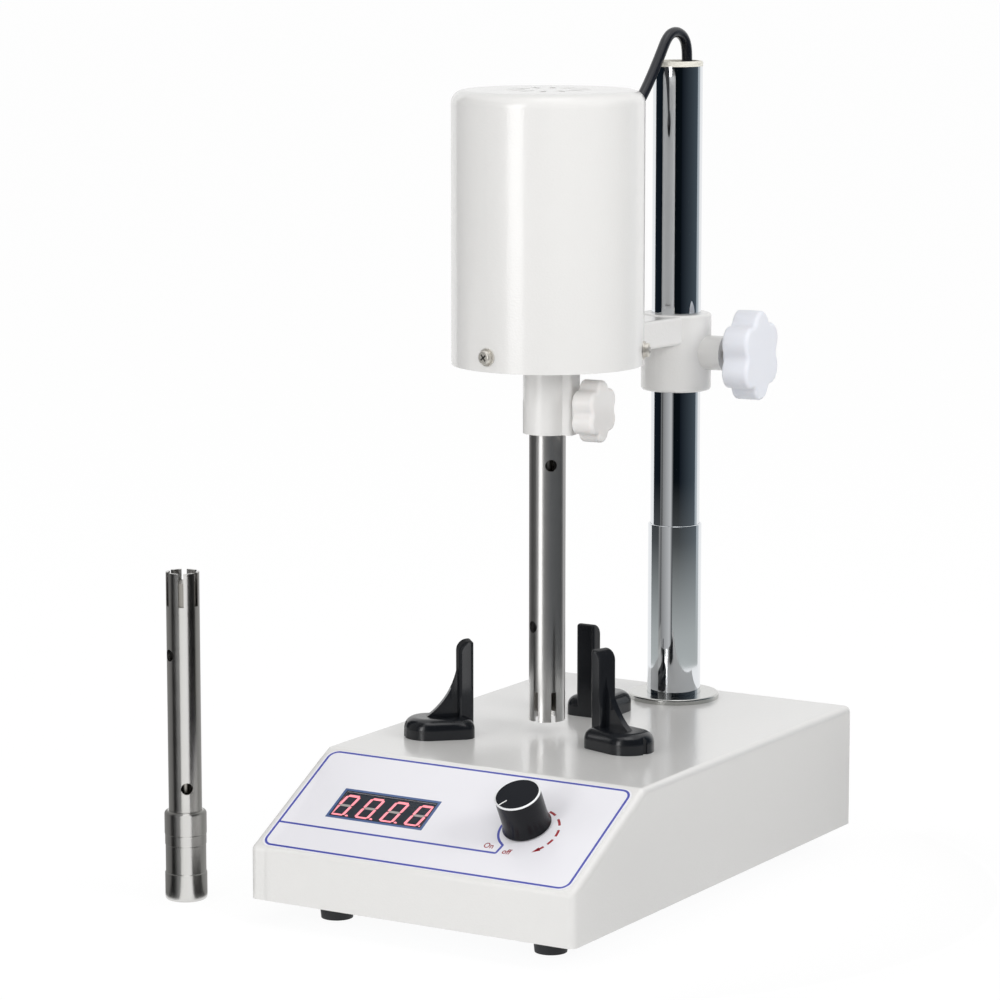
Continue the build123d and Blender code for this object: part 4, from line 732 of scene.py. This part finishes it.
class HOMOGENIZER_OT_stage(BuildStep, bpy.types.Operator):
    """Pale floor, soft studio light and camera"""

    bl_idname = "homogenizer.stage"
    bl_label = "Stage"

    def build(self, sizes, colours):
        scene = bpy.context.scene
        scene.view_settings.view_transform = "Standard"

        world = bpy.data.worlds.new("studio")
        world.use_nodes = True
        scene.world = world
        tree = world.node_tree
        tree.nodes.clear()
        seen = seen_by(tree, "Is Camera Ray", "Is Glossy Ray", "Is Transmission Ray")
        soft = add_node(tree, "ShaderNodeBackground", {"Color": linear("#FFFFFF"),
                                                       "Strength": 0.5})
        white = add_node(tree, "ShaderNodeBackground", {"Color": linear("#FFFFFF"),
                                                        "Strength": 1.0})
        mixed = add_node(tree, "ShaderNodeMixShader", {0: seen, 1: soft.outputs[0],
                                                       2: white.outputs[0]})
        add_node(tree, "ShaderNodeOutputWorld", {"Surface": mixed.outputs[0]})

        paper, tree, shader = new_material("white_paper", 0.8)
        shader.inputs["Base Color"].default_value = linear("#DCDCDC")
        seen = seen_by(tree, "Is Camera Ray", "Is Glossy Ray")
        share = add_node(tree, "ShaderNodeMath", {0: seen, 1: 0.86}, operation="MULTIPLY")
        glow = add_node(tree, "ShaderNodeEmission", {"Color": linear("#FFFFFF"),
                                                     "Strength": 1.08})
        mixed = add_node(tree, "ShaderNodeMixShader", {0: share.outputs[0],
                                                       1: shader.outputs[0],
                                                       2: glow.outputs[0]})
        tree.links.new(mixed.outputs[0], tree.nodes["Material Output"].inputs["Surface"])
        floor = add_object(rectangle(80, 80), "floor", paper)

        target = Vector((-0.02, 0.0, 0.2))
        toward_camera = radians(-59.8)

        def lamp(name, turn, height, distance, size, energy, shines=True):
            """Softbox at an angle round from the camera, facing the object."""
            light = bpy.data.lights.new(name, "AREA")
            light.shape = "RECTANGLE"
            light.size, light.size_y = size
            light.energy = energy
            holder = bpy.data.objects.new(name, light)
            at = toward_camera + radians(turn)
            holder.location = target + Vector((distance * cos(at), distance * sin(at), height))
            holder.rotation_mode = "QUATERNION"
            holder.rotation_quaternion = (target - holder.location).to_track_quat("-Z", "Y")
            holder.visible_glossy = shines
            scene.collection.objects.link(holder)

        lamp("strip_left", -38, 0.35, 2.2, (0.72, 1.7), 14)
        lamp("front_fill", 10, 0.6, 2.3, (1.0, 1.2), 9, shines=False)
        lamp("left_fill", -80, 0.5, 2.0, (1.0, 1.0), 3.6, shines=False)
        lamp("side_fill", 56, 0.4, 0.9, (0.4, 0.4), 2.9, shines=False)
        lamp("overhead", 20, 2.2, 0.5, (1.2, 1.2), 4.6)

        # Graded cards stand round the polished metal and show only in its reflections, as
        # a dark room with bright gaps. Their arcs are painted reflections, each ring fitted
        # round one part.
        glowing, tree, _ = new_material("studio_card", 0.9)
        tint = add_node(tree, "ShaderNodeAttribute", attribute_name="glow")
        glow = add_node(tree, "ShaderNodeEmission", {"Color": tint.outputs["Color"]})
        tree.links.new(glow.outputs[0], tree.nodes["Material Output"].inputs["Surface"])

        pale = Vector(linear("#B9BDBC"))

        def cards(name, middle, ahead, profile, arcs):
            """Turn a profile of (distance, height, paleness) round an upright axis.

            An arc is (start, end, first colour, last colour, strength), in degrees from
            the way ahead. Where the profile is pale, the card turns to the floor's colour.
            """
            bm = bmesh.new()
            layer = bm.verts.layers.float_color.new("glow")
            paleness = {round(rise, 4): share for _, rise, share in profile}
            for start, end, first, last, strength in arcs:
                known = set(bm.verts)
                seam = radians(ahead + start)
                line = [bm.verts.new(middle + Vector((far * cos(seam), far * sin(seam), rise)))
                        for far, rise, _ in profile]
                edges = [bm.edges.new(pair) for pair in zip(line, line[1:])]
                bmesh.ops.spin(bm, geom=line + edges, cent=middle, axis=(0, 0, 1),
                               angle=radians(end - start), steps=24, use_duplicate=False)
                first, last = Vector(linear(first)), Vector(linear(last))
                for v in set(bm.verts) - known:
                    out = v.co - middle
                    turned = (degrees(atan2(out.y, out.x)) - ahead - start + 5) % 360 - 5
                    along = first.lerp(last, turned / (end - start))
                    v[layer] = along.lerp(pale, paleness[round(v.co.z, 4)]) * strength
            made = add_object(bm, name, glowing)
            made.visible_camera = made.visible_shadow = made.visible_transmission = False
            made.visible_diffuse = False
            return made

        cards("column_painted_reflections", Vector((0.0, COLUMN_Y, 0.0)), -61.5,
              ((0.42, 0.001, 1.0), (0.42, 0.02, 0.9), (0.42, 0.075, 0.15), (0.42, 0.11, 0.0),
               (0.42, 0.6, 0.0)),
              ((-118, -42, "#161E26", "#0A0F14", 1), (-28, 20, "#060C0F", "#0C1217", 1),
               (20, 105, "#141A22", "#4A545C", 1), (105, 124, "#A9B1B8", "#C4CACE", 1)))
        # Close round the fitted tool, this ring paints its grey reflection, and the white arc
        # at strength 1.6 paints its highlight.
        cards("tool_painted_reflections", Vector((-0.013, 0.0083, 0.0)), -59.6,
              ((0.045, 0.085, 0.0), (0.045, 0.216, 0.0)),
              ((-165, -110, "#A6A6A6", "#585858", 1), (-110, -75, "#4E4E4E", "#585858", 1),
               (-75, -50, "#707070", "#A0A0A0", 1), (-50, -30, "#FFFFFF", "#FFFFFF", 1.6),
               (-30, 20, "#858585", "#65676A", 1), (20, 100, "#66686A", "#525456", 1),
               (100, 118, "#5C5D5E", "#C8C8C8", 1), (118, 165, "#C8C8C8", "#8A8A8A", 1)))
        # Round the spare tool, this ring paints its dark side bands and its bright middle as
        # reflections.
        cards("spare_painted_reflections", Vector((-0.1313, -0.112, 0.0)), -54.3,
              ((0.0115, 0.001, 0.0), (0.06, 0.0011, 0.0), (0.06, 0.26, 0.0)),
              ((-170, -82, "#9C9C9A", "#6C6C6B", 1), (-82, -26, "#0E0F10", "#161718", 1),
               (-26, 30, "#F4F4F2", "#FFFFFF", 1.1), (30, 84, "#1C1C1C", "#0A0B0C", 1),
               (84, 170, "#848482", "#B4B4B2", 1)))
        # A low black card keeps the floor's light off the right side of the base.
        shade = cards("side_card", Vector((0.0, 0.0, 0.0)), 0.0,
                      ((0.2, 0.001, 0.0), (0.2, 0.06, 0.0)),
                      ((-48, 60, "#000000", "#000000", 1),))
        shade.visible_diffuse, shade.visible_glossy = True, False

        camera = bpy.data.cameras.new("camera")
        camera.sensor_width = 36.0
        camera.lens = 142.48
        camera.clip_end = 20.0
        yaw, pitch = radians(31.08), radians(9.04)
        look = Vector((-sin(yaw) * cos(pitch), cos(yaw) * cos(pitch), -sin(pitch)))
        holder = bpy.data.objects.new("camera", camera)
        holder.location = (0.8885, -1.5292, 0.4591)
        holder.rotation_mode = "QUATERNION"
        holder.rotation_quaternion = look.to_track_quat("-Z", "Y")
        scene.collection.objects.link(holder)
        scene.camera = holder


STEPS = (
    HOMOGENIZER_OT_stage, HOMOGENIZER_OT_lead, HOMOGENIZER_OT_painted_parts,
    HOMOGENIZER_OT_panel_print, HOMOGENIZER_OT_display, HOMOGENIZER_OT_dial,
    HOMOGENIZER_OT_column, HOMOGENIZER_OT_knobs, HOMOGENIZER_OT_claws,
    HOMOGENIZER_OT_working_heads, HOMOGENIZER_OT_motor, HOMOGENIZER_OT_base_parts,
)


class HOMOGENIZER_PT_sidebar(bpy.types.Panel):
    """Buttons and settings of the homogenizer"""

    bl_idname = "HOMOGENIZER_PT_sidebar"
    bl_label = "Homogenizer"
    bl_space_type = "VIEW_3D"
    bl_region_type = "UI"
    bl_category = "Homogenizer"

    def draw(self, context):
        for step in STEPS:
            self.layout.operator(step.bl_idname)
        for group in (context.scene.homogenizer_sizes, context.scene.homogenizer_colours):
            for name in group.bl_rna.properties.keys():
                if name not in {"rna_type", "name"}:
                    self.layout.prop(group, name)


CLASSES = (HomogenizerSizes, HomogenizerColours, *STEPS, HOMOGENIZER_PT_sidebar)


def register():
    for cls in CLASSES:
        bpy.utils.register_class(cls)
    bpy.types.Scene.homogenizer_sizes = bpy.props.PointerProperty(type=HomogenizerSizes)
    bpy.types.Scene.homogenizer_colours = bpy.props.PointerProperty(type=HomogenizerColours)


def unregister():
    del bpy.types.Scene.homogenizer_colours
    del bpy.types.Scene.homogenizer_sizes
    for cls in reversed(CLASSES):
        bpy.utils.unregister_class(cls)


def main():
    register()
    for step in STEPS:
        group, name = step.bl_idname.split(".")
        getattr(getattr(bpy.ops, group), name)()


if __name__ == "__main__":
    main()
